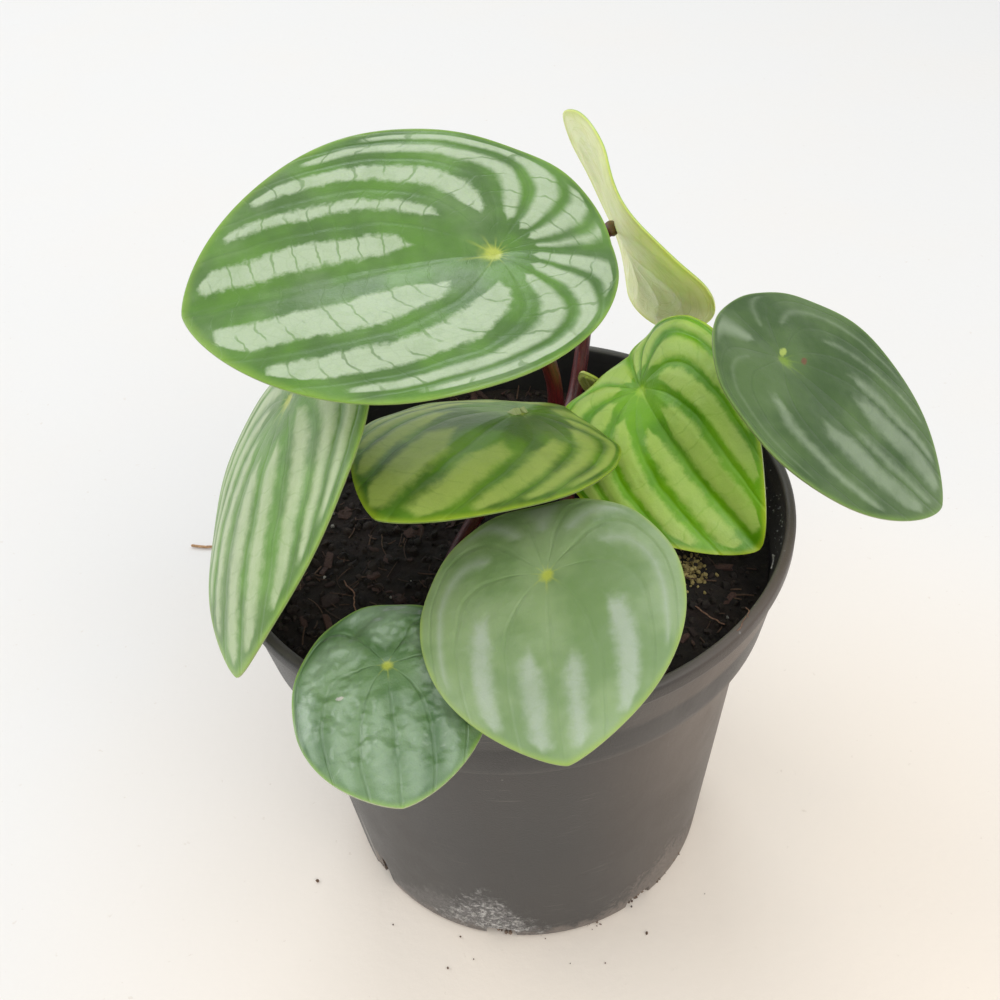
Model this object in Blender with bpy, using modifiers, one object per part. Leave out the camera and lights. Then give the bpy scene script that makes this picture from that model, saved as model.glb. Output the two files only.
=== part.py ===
"""Watermelon peperomia in a black nursery pot, modelled at real size.

Metres, +Z up. The pot stands on z = 0 with its axis through the origin.
The dimensions below are in millimetres and degrees.
"""

import math

import bmesh
import bpy
from mathutils import Matrix, Vector

MM = 0.001

# Pot
POT_HEIGHT = 88.5
RIM_RADIUS = 52.5
COLLAR_FOOT_RADIUS = 49.2
COLLAR_FOOT_Z = 70.0
WALL_TOP_RADIUS = 46.0
BASE_RADIUS = 39.0
WALL = 1.5
FLOOR = 2.0
TURN_STEPS = 64
DRAIN_COUNT = 8
DRAIN_FIRST_ANGLE = -146.0
DRAIN_SIZE = (7.0, 3.4, 5.0)

# Soil and crown
GAP = 0.45
SOIL_TOP = 80.0
SOIL_EDGE = 78.0
CROWN_CENTRE = (10.0, 23.0)
CROWN_RADIUS = 7.0

# Blades
BLADE_THICKNESS = 1.2
PETIOLE_GAP = 0.55
AROUND = 32
RINGS = 4
TIP_SPREAD = 0.3

# name: (insertion), heading, pitch, roll, half length, half width, shift of the insertion
# towards the base, tip point, then bends in degrees: tip, base, left, right, fold
BLADES = {
    "leaf_big": ((0.6, 1.6, 139.0), 191, -4, -16, 32.7, 29.0, 13.0, 0.11, 16, 5, 10, 6, 8),
    "leaf_left": ((-36.6, -1.4, 115.5), 244, 25, 42, 29.1, 25.8, 12.0, 0.18, 30, 6, 23, 8, -1),
    "leaf_middle": ((3.3, 3.8, 105.7), 233, -26, 2, 26.2, 22.6, 9.1, 0.19, 37, 11, 5, 10, -8),
    "leaf_bright": ((26.2, 15.4, 100.0), -78, 6, 46, 21.1, 19.9, 9.3, 0.31, 44, 32, 23, -3, 19),
    "leaf_right": ((49.5, 3.1, 113.5), -31, 30, -1, 24.5, 21.6, 10.8, 0.10, 12, 5, 5, 9, 3),
    "leaf_front": ((5.1, -34.1, 101.8), -90, 1, 12, 23.6, 21.1, 6.1, 0.17, 12, 6, 7, 7, 1),
    "leaf_low": ((-20.7, -43.2, 93.1), -84, 5, 4, 17.6, 15.7, 5.1, 0.10, 7, 4, 5, 6, -1),
    "leaf_back": ((25.9, 41.6, 120.4), 59, 54, 60, 24.8, 25.5, 1.5, 0.10, 20, -12, 38, -71, 1),
    "leaf_young": ((18.9, 29.2, 91.3), 235, -66, 0, 4.4, 3.2, 0.8, 0.25, 10, 5, 20, 20, 10),
}

# name of the blade: azimuth and elevation where its stalk leaves the crown, pull of the
# stalk's lower end, pull of its upper end, radius at the crown, radius at the blade
STALKS = {
    "leaf_big": (60, 80, 20, 12, 1.7, 1.3),
    "leaf_left": (172, 20, 26, 24, 1.6, 1.2),
    "leaf_middle": (-150, 50, 8, 7, 1.5, 1.2),
    "leaf_bright": (-20, 45, 6, 8, 1.5, 1.1),
    "leaf_right": (15, 22, 22, 16, 1.6, 1.2),
    "leaf_front": (-85, 22, 22, 16, 1.6, 1.2),
    "leaf_low": (-130, 15, 30, 16, 1.5, 1.1),
    "leaf_back": (62, 24, 14, 6, 1.7, 1.3),
    "leaf_young": (20, 55, 3, 2, 0.9, 0.8),
}
STALK_POINTS = 11

POT_BLACK = (0.018, 0.018, 0.019)
SOIL_BROWN = (0.020, 0.012, 0.008)
CROWN_GREEN = (0.16, 0.17, 0.05)
STALK_RED = (0.16, 0.018, 0.016)
BLADE_GREENS = {
    "leaf_big": (0.10, 0.26, 0.07),
    "leaf_left": (0.11, 0.26, 0.08),
    "leaf_middle": (0.12, 0.25, 0.03),
    "leaf_bright": (0.16, 0.36, 0.02),
    "leaf_right": (0.05, 0.14, 0.05),
    "leaf_front": (0.10, 0.22, 0.08),
    "leaf_low": (0.06, 0.15, 0.07),
    "leaf_back": (0.42, 0.48, 0.16),
    "leaf_young": (0.45, 0.48, 0.08),
}


def clear_scene():
    """Removes everything the startup file holds."""
    for obj in list(bpy.data.objects):
        bpy.data.objects.remove(obj, do_unlink=True)


def material(name, colour, roughness):
    """A Principled BSDF with one colour."""
    made = bpy.data.materials.new(name)
    made.use_nodes = True
    shader = made.node_tree.nodes["Principled BSDF"]
    shader.inputs["Base Color"].default_value = (*colour, 1.0)
    shader.inputs["Roughness"].default_value = roughness
    shader.inputs["Metallic"].default_value = 0.0
    return made


def put(obj, collection, made):
    """Links an object to its collection and gives it its material."""
    collection.objects.link(obj)
    obj.data.materials.append(made)
    return obj


def mesh_object(name, bm, smooth=True):
    """An object that takes its mesh from a bmesh."""
    mesh = bpy.data.meshes.new(name)
    bm.to_mesh(mesh)
    bm.free()
    for polygon in mesh.polygons:
        polygon.use_smooth = smooth
    return bpy.data.objects.new(name, mesh)


def turned(name, profile, centre=(0.0, 0.0), steps=TURN_STEPS):
    """A body turned about a vertical axis from (radius, height) pairs, outer side first."""
    bm = bmesh.new()
    points = [bm.verts.new((radius * MM, 0.0, z * MM)) for radius, z in profile]
    for first, second in zip(points, points[1:]):
        bm.edges.new((first, second))
    obj = mesh_object(name, bm)
    obj.location = (centre[0] * MM, centre[1] * MM, 0.0)
    screw = obj.modifiers.new("Turn", "SCREW")
    screw.axis = "Z"
    screw.steps = steps
    screw.render_steps = steps
    screw.use_merge_vertices = True
    screw.merge_threshold = 0.0001
    return obj


def pot_profile():
    """Down the outside from the lip, across the base, and up the inside."""
    outside = [
        (RIM_RADIUS - 0.9, POT_HEIGHT),
        (RIM_RADIUS, POT_HEIGHT - 0.9),
        (RIM_RADIUS, POT_HEIGHT - 3.0),
        (RIM_RADIUS - 0.7, POT_HEIGHT - 3.6),
        (COLLAR_FOOT_RADIUS, COLLAR_FOOT_Z + 0.4),
        (COLLAR_FOOT_RADIUS - 0.5, COLLAR_FOOT_Z),
        (WALL_TOP_RADIUS, COLLAR_FOOT_Z - 0.5),
        (BASE_RADIUS, 1.0),
        (BASE_RADIUS - 1.0, 0.0),
        (0.0, 0.0),
    ]
    return outside + [(radius, z) for radius, z in pot_inside(0.0)]


def pot_inside(inset):
    """Up the inside of the pot from the middle of its floor, moved inwards by inset."""
    return [
        (0.0, FLOOR + inset),
        (BASE_RADIUS - WALL - 0.3 - inset, FLOOR + inset),
        (WALL_TOP_RADIUS - WALL - inset, COLLAR_FOOT_Z + 0.6),
        (COLLAR_FOOT_RADIUS - WALL - inset, COLLAR_FOOT_Z + 2.2),
        (RIM_RADIUS - 2.1 - inset, POT_HEIGHT - 4.0),
        (RIM_RADIUS - 1.9 - inset, POT_HEIGHT - 0.4),
        (RIM_RADIUS - 1.6 - inset, POT_HEIGHT),
    ]


def drain_cutter(index, collection, made):
    """One box that opens a drain notch through the foot of the wall."""
    angle = math.radians(DRAIN_FIRST_ANGLE + index * 360.0 / DRAIN_COUNT)
    width, height, depth = DRAIN_SIZE
    bm = bmesh.new()
    bmesh.ops.create_cube(bm, size=1.0)
    bmesh.ops.scale(bm, vec=Vector((depth, width, height * 2.0)) * MM, verts=bm.verts)
    bmesh.ops.translate(bm, vec=Vector((BASE_RADIUS, 0.0, 0.0)) * MM, verts=bm.verts)
    bmesh.ops.rotate(bm, matrix=Matrix.Rotation(angle, 3, "Z"), verts=bm.verts)
    cutter = put(mesh_object(f"cut_drain_{index}", bm, smooth=False), collection, made)
    cutter.hide_render = True
    cutter.display_type = "WIRE"
    return cutter


def build_pot(collection, cutters):
    """The nursery pot with its lip, collar, tapered wall and drain notches."""
    black = material("pot", POT_BLACK, 0.55)
    pot = put(turned("pot", pot_profile() + [pot_profile()[0]]), collection, black)
    for index in range(DRAIN_COUNT):
        cutter = drain_cutter(index, cutters, black)
        cut = pot.modifiers.new(f"Drain {index}", "BOOLEAN")
        cut.operation = "DIFFERENCE"
        cut.solver = "EXACT"
        cut.object = cutter
    return pot


def build_soil(collection):
    """The soil that fills the pot up to a little below the rim."""
    inside = pot_inside(GAP)
    wall_foot, wall_top, collar = inside[1], inside[2], inside[3]
    rim = inside[4]
    share = (SOIL_EDGE - collar[1]) / (rim[1] - collar[1])
    edge = collar[0] + (rim[0] - collar[0]) * share
    profile = [
        (0.0, SOIL_TOP),
        (32.0, SOIL_TOP),
        (42.0, SOIL_TOP - 0.6),
        (edge, SOIL_EDGE),
        collar,
        wall_top,
        wall_foot,
        (0.0, wall_foot[1]),
    ]
    return put(turned("soil", profile), collection, material("soil", SOIL_BROWN, 0.95))


def build_crown(collection):
    """The short stem that the leaf stalks leave, standing just clear of the soil."""
    foot = SOIL_TOP + GAP
    profile = [(0.0, foot + CROWN_RADIUS)]
    for step in range(1, 6):
        angle = math.radians(90.0 - 18.0 * step)
        across = CROWN_RADIUS * math.cos(angle)
        profile.append((across, foot + CROWN_RADIUS * math.sin(angle)))
    profile.append((0.0, foot))
    crown = turned("crown", profile, CROWN_CENTRE, 20)
    return put(crown, collection, material("crown", CROWN_GREEN, 0.6))


def pose(blade):
    """The turn that takes a blade lying flat, tip along +X, to its place on the plant."""
    heading, pitch, roll = (math.radians(value) for value in blade[1:4])
    turn = Matrix.Rotation(heading, 3, "Z")
    turn @= Matrix.Rotation(pitch, 3, "Y")
    return turn @ Matrix.Rotation(roll, 3, "X")


def outline(angle, blade):
    """Distance from the insertion to the margin, in the flat blade."""
    length, width, shift, point = blade[4:8]
    c, s = math.cos(angle), math.sin(angle)
    square = (c / length) ** 2 + (s / width) ** 2
    cross = -2.0 * c * shift / length**2
    rest = (shift / length) ** 2 - 1.0
    reach = (-cross + math.sqrt(cross * cross - 4.0 * square * rest)) / (2.0 * square)
    return reach * (1.0 + point * math.exp(-((abs(angle) / TIP_SPREAD) ** 1.3)))


def arc(distance, curvature, slope):
    """A point at a distance along an arc that starts at a slope: (across, up)."""
    if abs(curvature) < 1e-5:
        return distance * math.cos(slope), distance * math.sin(slope)
    end = curvature * distance - slope
    across = (math.sin(end) + math.sin(slope)) / curvature
    return across, (math.cos(end) - math.cos(slope)) / curvature


def bent(x, y, blade):
    """Where a point of the flat blade goes once its sides and ends curve."""
    length, width, shift, point = blade[4:8]
    tip, base, left, right, fold = (math.radians(value) for value in blade[8:13])
    side = left if y > 0 else right
    across, up = arc(abs(y), side / width, fold)
    end = tip / ((length + shift) * (1.0 + point)) if x > 0 else base / (length - shift)
    angle = end * x
    along, drop = arc(abs(x), end, 0.0)
    along = math.copysign(along, x)
    return Vector((along + up * math.sin(angle), math.copysign(across, y), drop + up * math.cos(angle)))


def blade_surface(blade):
    """A grid wrapped round the insertion, one ring per share of the way to the margin."""
    bm = bmesh.new()
    bmesh.ops.create_grid(bm, x_segments=AROUND, y_segments=RINGS, size=1.0)
    turn = pose(blade)
    place = Vector(blade[0])
    for vert in bm.verts:
        angle = vert.co.x * math.pi
        reach = outline(angle, blade) * (vert.co.y + 1.0) / 2.0
        flat = bent(reach * math.cos(angle), reach * math.sin(angle), blade)
        vert.co = (turn @ flat + place) * MM
    bmesh.ops.remove_doubles(bm, verts=bm.verts, dist=0.00002)
    bmesh.ops.recalc_face_normals(bm, faces=bm.faces)
    up = turn @ Vector((0.0, 0.0, 1.0))
    if sum((face.normal.dot(up) for face in bm.faces)) < 0.0:
        bmesh.ops.reverse_faces(bm, faces=bm.faces)
    return bm


def build_blade(name, collection):
    """One leaf blade: an open surface given its thickness on the underside."""
    blade = BLADES[name]
    leaf = put(mesh_object(name, blade_surface(blade)), collection,
               material(name, BLADE_GREENS[name], 0.35))
    skin = leaf.modifiers.new("Thickness", "SOLIDIFY")
    skin.thickness = BLADE_THICKNESS * MM
    skin.offset = -1.0
    skin.use_even_offset = False
    return leaf


def stalk_path(name):
    """Points of a stalk from the crown to just under the middle of its blade."""
    azimuth, elevation, low_pull, high_pull = STALKS[name][:4]
    blade = BLADES[name]
    azimuth, elevation = math.radians(azimuth), math.radians(elevation)
    out = Vector((
        math.cos(azimuth) * math.cos(elevation),
        math.sin(azimuth) * math.cos(elevation),
        math.sin(elevation),
    ))
    middle = Vector((*CROWN_CENTRE, SOIL_TOP + GAP))
    start = middle + out * (CROWN_RADIUS + GAP)
    up = pose(blade) @ Vector((0.0, 0.0, 1.0))
    end = Vector(blade[0]) - up * (BLADE_THICKNESS + PETIOLE_GAP)
    first, second = start + out * low_pull, end - up * high_pull
    points = []
    for step in range(STALK_POINTS):
        share = step / (STALK_POINTS - 1)
        t = share * share * (3.0 - 2.0 * share)
        a, b, c, d = (1 - t) ** 3, 3 * t * (1 - t) ** 2, 3 * t * t * (1 - t), t**3
        points.append(start * a + first * b + second * c + end * d)
    return points


def build_stalk(name, collection, made):
    """One leaf stalk: a curve tube that narrows towards the blade."""
    low_radius, high_radius = STALKS[name][4:6]
    label = name.replace("leaf_", "stalk_")
    curve = bpy.data.curves.new(label, "CURVE")
    curve.dimensions = "3D"
    curve.bevel_depth = low_radius * MM
    curve.bevel_resolution = 2
    curve.use_fill_caps = True
    path = stalk_path(name)
    spline = curve.splines.new("POLY")
    spline.points.add(len(path) - 1)
    for index, point in enumerate(path):
        share = index / (len(path) - 1)
        spline.points[index].co = (*(point * MM), 1.0)
        spline.points[index].radius = 1.0 + (high_radius / low_radius - 1.0) * share
    spline.use_smooth = True
    return put(bpy.data.objects.new(label, curve), collection, made)


def main():
    """Builds every part of the potted plant."""
    clear_scene()
    plant = bpy.data.collections.new("potted_peperomia")
    cutters = bpy.data.collections.new("cutters")
    bpy.context.scene.collection.children.link(plant)
    bpy.context.scene.collection.children.link(cutters)
    cutters.hide_render = True
    build_pot(plant, cutters)
    build_soil(plant)
    build_crown(plant)
    red = material("stalk", STALK_RED, 0.4)
    for name in BLADES:
        build_blade(name, plant)
        build_stalk(name, plant, red)


main()
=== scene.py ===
"""A young peperomia with striped, shield-shaped leaves in a round nursery pot.

Every blade is an oval sheet held near its middle, and every stalk runs from the
crown to the underside of its blade. Lengths in the size classes are millimetres
and angles are degrees; meshes are in metres.
"""

from __future__ import annotations

import logging
import math
import random
from contextlib import contextmanager
from dataclasses import dataclass, field
from enum import Enum
from typing import Iterable, Iterator, Sequence

import bpy
import numpy as np
from mathutils import Matrix, Vector, noise


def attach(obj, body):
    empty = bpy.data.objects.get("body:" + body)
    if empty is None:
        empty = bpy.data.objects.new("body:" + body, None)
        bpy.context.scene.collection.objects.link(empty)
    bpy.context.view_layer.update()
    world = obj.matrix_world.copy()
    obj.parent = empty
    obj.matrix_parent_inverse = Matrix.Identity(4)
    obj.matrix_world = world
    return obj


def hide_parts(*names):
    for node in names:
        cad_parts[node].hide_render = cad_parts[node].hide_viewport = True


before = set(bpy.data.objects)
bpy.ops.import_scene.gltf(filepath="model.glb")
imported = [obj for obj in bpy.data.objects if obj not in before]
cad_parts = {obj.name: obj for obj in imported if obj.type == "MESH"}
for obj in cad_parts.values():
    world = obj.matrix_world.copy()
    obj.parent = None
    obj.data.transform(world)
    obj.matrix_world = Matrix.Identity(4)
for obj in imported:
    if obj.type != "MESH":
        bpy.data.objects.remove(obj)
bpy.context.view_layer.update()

MM = 0.001
TO_MM = 1000.0
FULL_TURN = 2.0 * math.pi
LOG = logging.getLogger("peperomia")
Colour = tuple[float, float, float]
Socket = bpy.types.NodeSocket


# ---------------------------------------------------------------- modelling


class Bench:
    """The modelling steps that every piece shares."""

    @staticmethod
    def clear() -> None:
        """Deselects everything, so that an operator acts on the new piece alone."""
        bpy.ops.object.select_all(action="DESELECT")

    @staticmethod
    def take(name: str) -> bpy.types.Object:
        """Names the primitive that was just added.

        Args:
            name: the piece's name.

        Returns:
            The new object, active and selected.
        """
        piece = bpy.context.object
        piece.name = name
        piece.data.name = name
        return piece

    @staticmethod
    def only(piece: bpy.types.Object) -> None:
        """Makes one piece active and the only one selected."""
        Bench.clear()
        piece.select_set(True)
        bpy.context.view_layer.objects.active = piece

    @staticmethod
    def grid(name: str, across: int, up: int) -> tuple[bpy.types.Object, np.ndarray]:
        """Adds a flat grid to be wrapped into a surface.

        Args:
            name: the piece's name.
            across: cells along X.
            up: cells along Y.

        Returns:
            The grid and its corners' shares along X and Y, from 0 to 1.
        """
        Bench.clear()
        bpy.ops.mesh.primitive_grid_add(x_subdivisions=across, y_subdivisions=up, size=2.0)
        piece = Bench.take(name)
        return piece, (Bench.corners(piece)[:, :2] + 1.0) / 2.0

    @staticmethod
    def shape(piece: bpy.types.Object, points: np.ndarray) -> None:
        """Moves a piece's corners to these points, in metres."""
        piece.data.vertices.foreach_set("co", np.asarray(points, float).ravel())
        piece.data.update()

    @staticmethod
    def rows(items: bpy.types.bpy_prop_collection, setting: str, size: int = 3) -> np.ndarray:
        """Reads one setting of every item in a collection.

        Args:
            items: a mesh's corners or an attribute's values.
            setting: the setting's name.
            size: how many numbers it holds.

        Returns:
            One row for each item.
        """
        flat = np.empty(len(items) * size, np.float32)
        items.foreach_get(setting, flat)
        return flat.reshape(-1, size).astype(float)

    @staticmethod
    def corners(piece: bpy.types.Object) -> np.ndarray:
        """A piece's corners as rows of three numbers, in metres."""
        return Bench.rows(piece.data.vertices, "co")

    @staticmethod
    def normals(piece: bpy.types.Object) -> np.ndarray:
        """A piece's corner normals as rows of three numbers."""
        return Bench.rows(piece.data.vertices, "normal")

    @staticmethod
    def attribute(piece: bpy.types.Object, name: str, values: np.ndarray) -> None:
        """Stores one number or one vector for each corner.

        Args:
            piece: the mesh object.
            name: the attribute's name.
            values: an array with one row for each corner.
        """
        vector = values.ndim == 2
        kind = "FLOAT_VECTOR" if vector else "FLOAT"
        layer = piece.data.attributes.new(name, kind, "POINT")
        layer.data.foreach_set("vector" if vector else "value", values.astype(np.float32).ravel())

    @staticmethod
    def read(piece: bpy.types.Object, name: str) -> np.ndarray:
        """A vector attribute's values in rows."""
        return Bench.rows(piece.data.attributes[name].data, "vector")

    @staticmethod
    @contextmanager
    def editing(action: str = "SELECT") -> Iterator[None]:
        """Edit mode on the active piece, with all of it selected or deselected first."""
        bpy.ops.object.mode_set(mode="EDIT")
        bpy.ops.mesh.select_all(action=action)
        yield
        bpy.ops.object.mode_set(mode="OBJECT")

    @staticmethod
    def weld(piece: bpy.types.Object, within: float = 2e-6, outward: bool = False) -> None:
        """Merges corners that lie on each other.

        Args:
            piece: the mesh object.
            within: the merging distance in metres.
            outward: turns the faces of a closed mesh outwards afterwards.
        """
        Bench.only(piece)
        with Bench.editing():
            bpy.ops.mesh.remove_doubles(threshold=within)
            if outward:
                bpy.ops.mesh.normals_make_consistent(inside=False)

    @staticmethod
    def modify(piece: bpy.types.Object, kind: str, **settings: object) -> None:
        """Adds a modifier and applies it.

        Args:
            piece: the mesh object.
            kind: Blender's name for the modifier.
            settings: the modifier's settings.
        """
        Bench.only(piece)
        modifier = piece.modifiers.new(kind.title(), kind)
        for setting, value in settings.items():
            setattr(modifier, setting, value)
        bpy.ops.object.modifier_apply(modifier=modifier.name)

    @staticmethod
    def smooth(piece: bpy.types.Object, sharp: float | None = None) -> None:
        """Shades a piece smooth, keeping edges over this many degrees sharp."""
        Bench.only(piece)
        if sharp is None:
            bpy.ops.object.shade_smooth()
        else:
            bpy.ops.object.shade_smooth_by_angle(angle=math.radians(sharp))

    @staticmethod
    def ride(piece: bpy.types.Object, slot: str, nodes: Sequence[str] = ()) -> None:
        """Hangs a finished piece on the plant's one body.

        Args:
            piece: the finished piece.
            slot: not used.
            nodes: the CAD nodes that it stands for.
        """
        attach(piece, "root")
        if nodes:
            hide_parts(*nodes)
        LOG.info("%s: %d faces", piece.name, len(piece.data.polygons))


def ease(low: float, high: float, value: np.ndarray | float) -> np.ndarray:
    """A smooth step from 0 at low to 1 at high."""
    share = np.clip((np.asarray(value, float) - low) / (high - low), 0.0, 1.0)
    return share * share * (3.0 - 2.0 * share)


def rough(points: np.ndarray, scale: float, octaves: int = 4, seed: float = 0.0) -> np.ndarray:
    """Smooth noise at each point.

    Args:
        points: rows of three coordinates in millimetres.
        scale: the size of the largest bumps in millimetres.
        octaves: how many finer layers it has.
        seed: shifts the pattern.

    Returns:
        One number for each row, mostly from -1 to 1.
    """
    shift = Vector((seed * 17.3, seed * 7.7, seed * 3.1))
    return np.array(
        [noise.fractal(Vector(p) / scale + shift, 1.0, 2.1, octaves) for p in points]
    )


def swept(
    name: str, path: Sequence[Vector], radii: Sequence[float], around: int, flat: float = 1.0
) -> bpy.types.Object:
    """A closed tube along a path, with rounded ends.

    Args:
        name: the piece's name.
        path: points along the middle, in millimetres.
        radii: the tube's radius at each point, in millimetres.
        around: faces round the tube.
        flat: the tube's thickness across as a share of its width.

    Returns:
        The tube, with attribute "along" from 0 to 1 and "round" as an angle.
    """
    steps = len(path)
    tangents = [(path[min(i + 1, steps - 1)] - path[max(i - 1, 0)]).normalized() for i in range(steps)]
    side = tangents[0].orthogonal().normalized()
    rings: list[tuple[Vector, Vector, Vector, float, float]] = []
    for i in range(steps):
        side = (side - tangents[i] * side.dot(tangents[i])).normalized()
        rings.append((path[i], side, tangents[i].cross(side), radii[i], i / (steps - 1)))
    caps = [math.radians(a) for a in (88, 60, 30)]
    first, last = rings[0], rings[-1]
    start = [
        (first[0] - tangents[0] * first[3] * 0.8 * math.sin(a), first[1], first[2], first[3] * math.cos(a), 0.0)
        for a in caps
    ]
    finish = [
        (last[0] + tangents[-1] * last[3] * 0.8 * math.sin(a), last[1], last[2], last[3] * math.cos(a), 1.0)
        for a in reversed(caps)
    ]
    rings = start + rings + finish
    piece, share = Bench.grid(name, around, len(rings) - 1)
    points, along, turn = [], [], []
    for u, v in share:
        centre, one, two, radius, way = rings[round(v * (len(rings) - 1))]
        angle = -FULL_TURN * u
        points.append((centre + one * radius * math.cos(angle) + two * radius * flat * math.sin(angle)) * MM)
        along.append(way)
        turn.append((math.cos(angle), math.sin(angle), way))
    Bench.shape(piece, np.array(points))
    Bench.attribute(piece, "along", np.array(along))
    Bench.attribute(piece, "round", np.array(turn))
    Bench.weld(piece, 1e-6)
    Bench.only(piece)
    with Bench.editing("DESELECT"):
        bpy.ops.mesh.select_mode(type="EDGE")
        bpy.ops.mesh.select_non_manifold()
        bpy.ops.mesh.edge_face_add()
        bpy.ops.mesh.select_all(action="SELECT")
        bpy.ops.mesh.normals_make_consistent(inside=False)
    Bench.smooth(piece)
    return piece


# ---------------------------------------------------------------- node work


class Graph:
    """Adds nodes to one node tree and joins them."""

    def __init__(self, tree: bpy.types.NodeTree) -> None:
        """Works on this node tree."""
        self.tree = tree

    def node(self, kind: str, **settings: object) -> bpy.types.Node:
        """Adds a node of this kind with these settings."""
        made = self.tree.nodes.new("ShaderNode" + kind)
        for setting, value in settings.items():
            setattr(made, setting, value)
        return made

    def feed(self, socket: Socket, value: object) -> None:
        """Gives an input a constant, or joins another node's output to it."""
        if isinstance(value, bpy.types.NodeSocket):
            self.tree.links.new(value, socket)
        elif isinstance(value, tuple) and socket.type == "RGBA":
            socket.default_value = (*value[:3], 1.0)
        else:
            socket.default_value = value

    def maths(self, operation: str, *values: object, clamp: bool = False) -> Socket:
        """One step of arithmetic on numbers or outputs."""
        made = self.node("Math", operation=operation, use_clamp=clamp)
        for socket, value in zip(made.inputs, values):
            self.feed(socket, value)
        return made.outputs[0]

    def times(self, first: object, second: object) -> Socket:
        """The product of two values."""
        return self.maths("MULTIPLY", first, second)

    def plus(self, first: object, second: object) -> Socket:
        """The sum of two values."""
        return self.maths("ADD", first, second)

    def less(self, first: object, second: object) -> Socket:
        """The first value without the second."""
        return self.maths("SUBTRACT", first, second)

    def times_plus(self, first: object, second: object, more: object) -> Socket:
        """The product of two values, plus a third."""
        return self.maths("MULTIPLY_ADD", first, second, more)

    def most(self, first: object, second: object) -> Socket:
        """The larger of two values."""
        return self.maths("MAXIMUM", first, second)

    def apart(self, first: object, second: object) -> Socket:
        """How far apart two values are."""
        return self.maths("ABSOLUTE", self.less(first, second))

    def vector(self, operation: str, *values: object) -> Socket:
        """One step of arithmetic on vectors."""
        made = self.node("VectorMath", operation=operation)
        for socket, value in zip(made.inputs, values):
            self.feed(socket, value)
        return made.outputs["Value"] if operation in ("LENGTH", "DOT_PRODUCT") else made.outputs[0]

    def scaled(self, vector: Socket, scale: object) -> Socket:
        """Lengthens a vector.

        Args:
            vector: the vector.
            scale: the number it is multiplied by.
        """
        made = self.node("VectorMath", operation="SCALE")
        self.feed(made.inputs[0], vector)
        self.feed(made.inputs["Scale"], scale)
        return made.outputs[0]

    def step(self, value: object, low: float, high: float, bottom: float = 0.0, top: float = 1.0) -> Socket:
        """A smooth step from one value to another.

        Args:
            value: what is looked at.
            low: where the step begins.
            high: where it ends.
            bottom: the result at low and beyond.
            top: the result at high and beyond.
        """
        made = self.node("MapRange", interpolation_type="SMOOTHSTEP")
        for socket, given in zip(made.inputs, (value, low, high, bottom, top)):
            self.feed(socket, given)
        return made.outputs[0]

    def mix(self, share: object, first: object, second: object) -> Socket:
        """Mixes two colours.

        Args:
            share: how much of the second there is, from 0 to 1.
            first: the first colour.
            second: the second colour.
        """
        made = self.node("Mix", data_type="RGBA")
        self.feed(made.inputs["Factor"], share)
        self.feed(made.inputs[6], first)
        self.feed(made.inputs[7], second)
        return made.outputs[2]

    def noise(self, vector: Socket, scale: float, detail: float = 3.0, rough: float = 0.55) -> Socket:
        """Noise from 0 to 1.

        Args:
            vector: the place.
            scale: bumps to each unit of the place.
            detail: how many finer layers it has.
            rough: how strong each finer layer is.
        """
        made = self.node("TexNoise")
        self.feed(made.inputs["Vector"], vector)
        made.inputs["Scale"].default_value = scale
        made.inputs["Detail"].default_value = detail
        made.inputs["Roughness"].default_value = rough
        return made.outputs["Fac"]

    def cracks(self, vector: Socket) -> Socket:
        """The distance to the nearest edge of a net of cells of size 1."""
        made = self.node("TexVoronoi", feature="DISTANCE_TO_EDGE")
        self.feed(made.inputs["Vector"], vector)
        made.inputs["Scale"].default_value = 1.0
        made.inputs["Randomness"].default_value = 0.9
        return made.outputs["Distance"]

    def split(self, vector: Socket) -> Sequence[Socket]:
        """A vector's three parts."""
        made = self.node("SeparateXYZ")
        self.feed(made.inputs[0], vector)
        return made.outputs

    def joined(self, x: object, y: object, z: object = 0.0) -> Socket:
        """Makes a vector.

        Args:
            x: its first part.
            y: its second part.
            z: its third part.
        """
        made = self.node("CombineXYZ")
        for socket, value in zip(made.inputs, (x, y, z)):
            self.feed(socket, value)
        return made.outputs[0]

    def attribute(self, name: str, output: str = "Vector") -> Socket:
        """A mesh attribute's value."""
        return self.node("Attribute", attribute_name=name).outputs[output]

    def millimetres(self) -> Socket:
        """The place on the object, in millimetres."""
        return self.scaled(self.node("TexCoord").outputs["Object"], TO_MM)

    def curve(self, value: Socket, points: Iterable[tuple[float, float]]) -> Socket:
        """Reads a broken line.

        Args:
            value: where it is read, from 0 to 1.
            points: the line's corners.
        """
        made = self.node("FloatCurve")
        line = made.mapping.curves[0]
        wanted = list(points)
        while len(line.points) < len(wanted):
            line.points.new(0.5, 0.5)
        for point, place in zip(line.points, wanted):
            point.location = place
            point.handle_type = "VECTOR"
        made.mapping.update()
        self.feed(made.inputs["Value"], value)
        return made.outputs[0]

    def use(self, group: bpy.types.NodeTree, **inputs: object) -> Sequence[Socket]:
        """Places a node group and feeds its inputs by name."""
        made = self.node("Group")
        made.node_tree = group
        for name, value in inputs.items():
            self.feed(made.inputs[name.replace("_", " ")], value)
        return made.outputs

    def bump(self, height: Socket, distance: float) -> Socket:
        """A normal from a height.

        Args:
            height: the height.
            distance: the relief in metres for a height of 1.
        """
        made = self.node("Bump")
        made.inputs["Strength"].default_value = 1.0
        made.inputs["Distance"].default_value = distance
        self.feed(made.inputs["Height"], height)
        return made.outputs[0]


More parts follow.
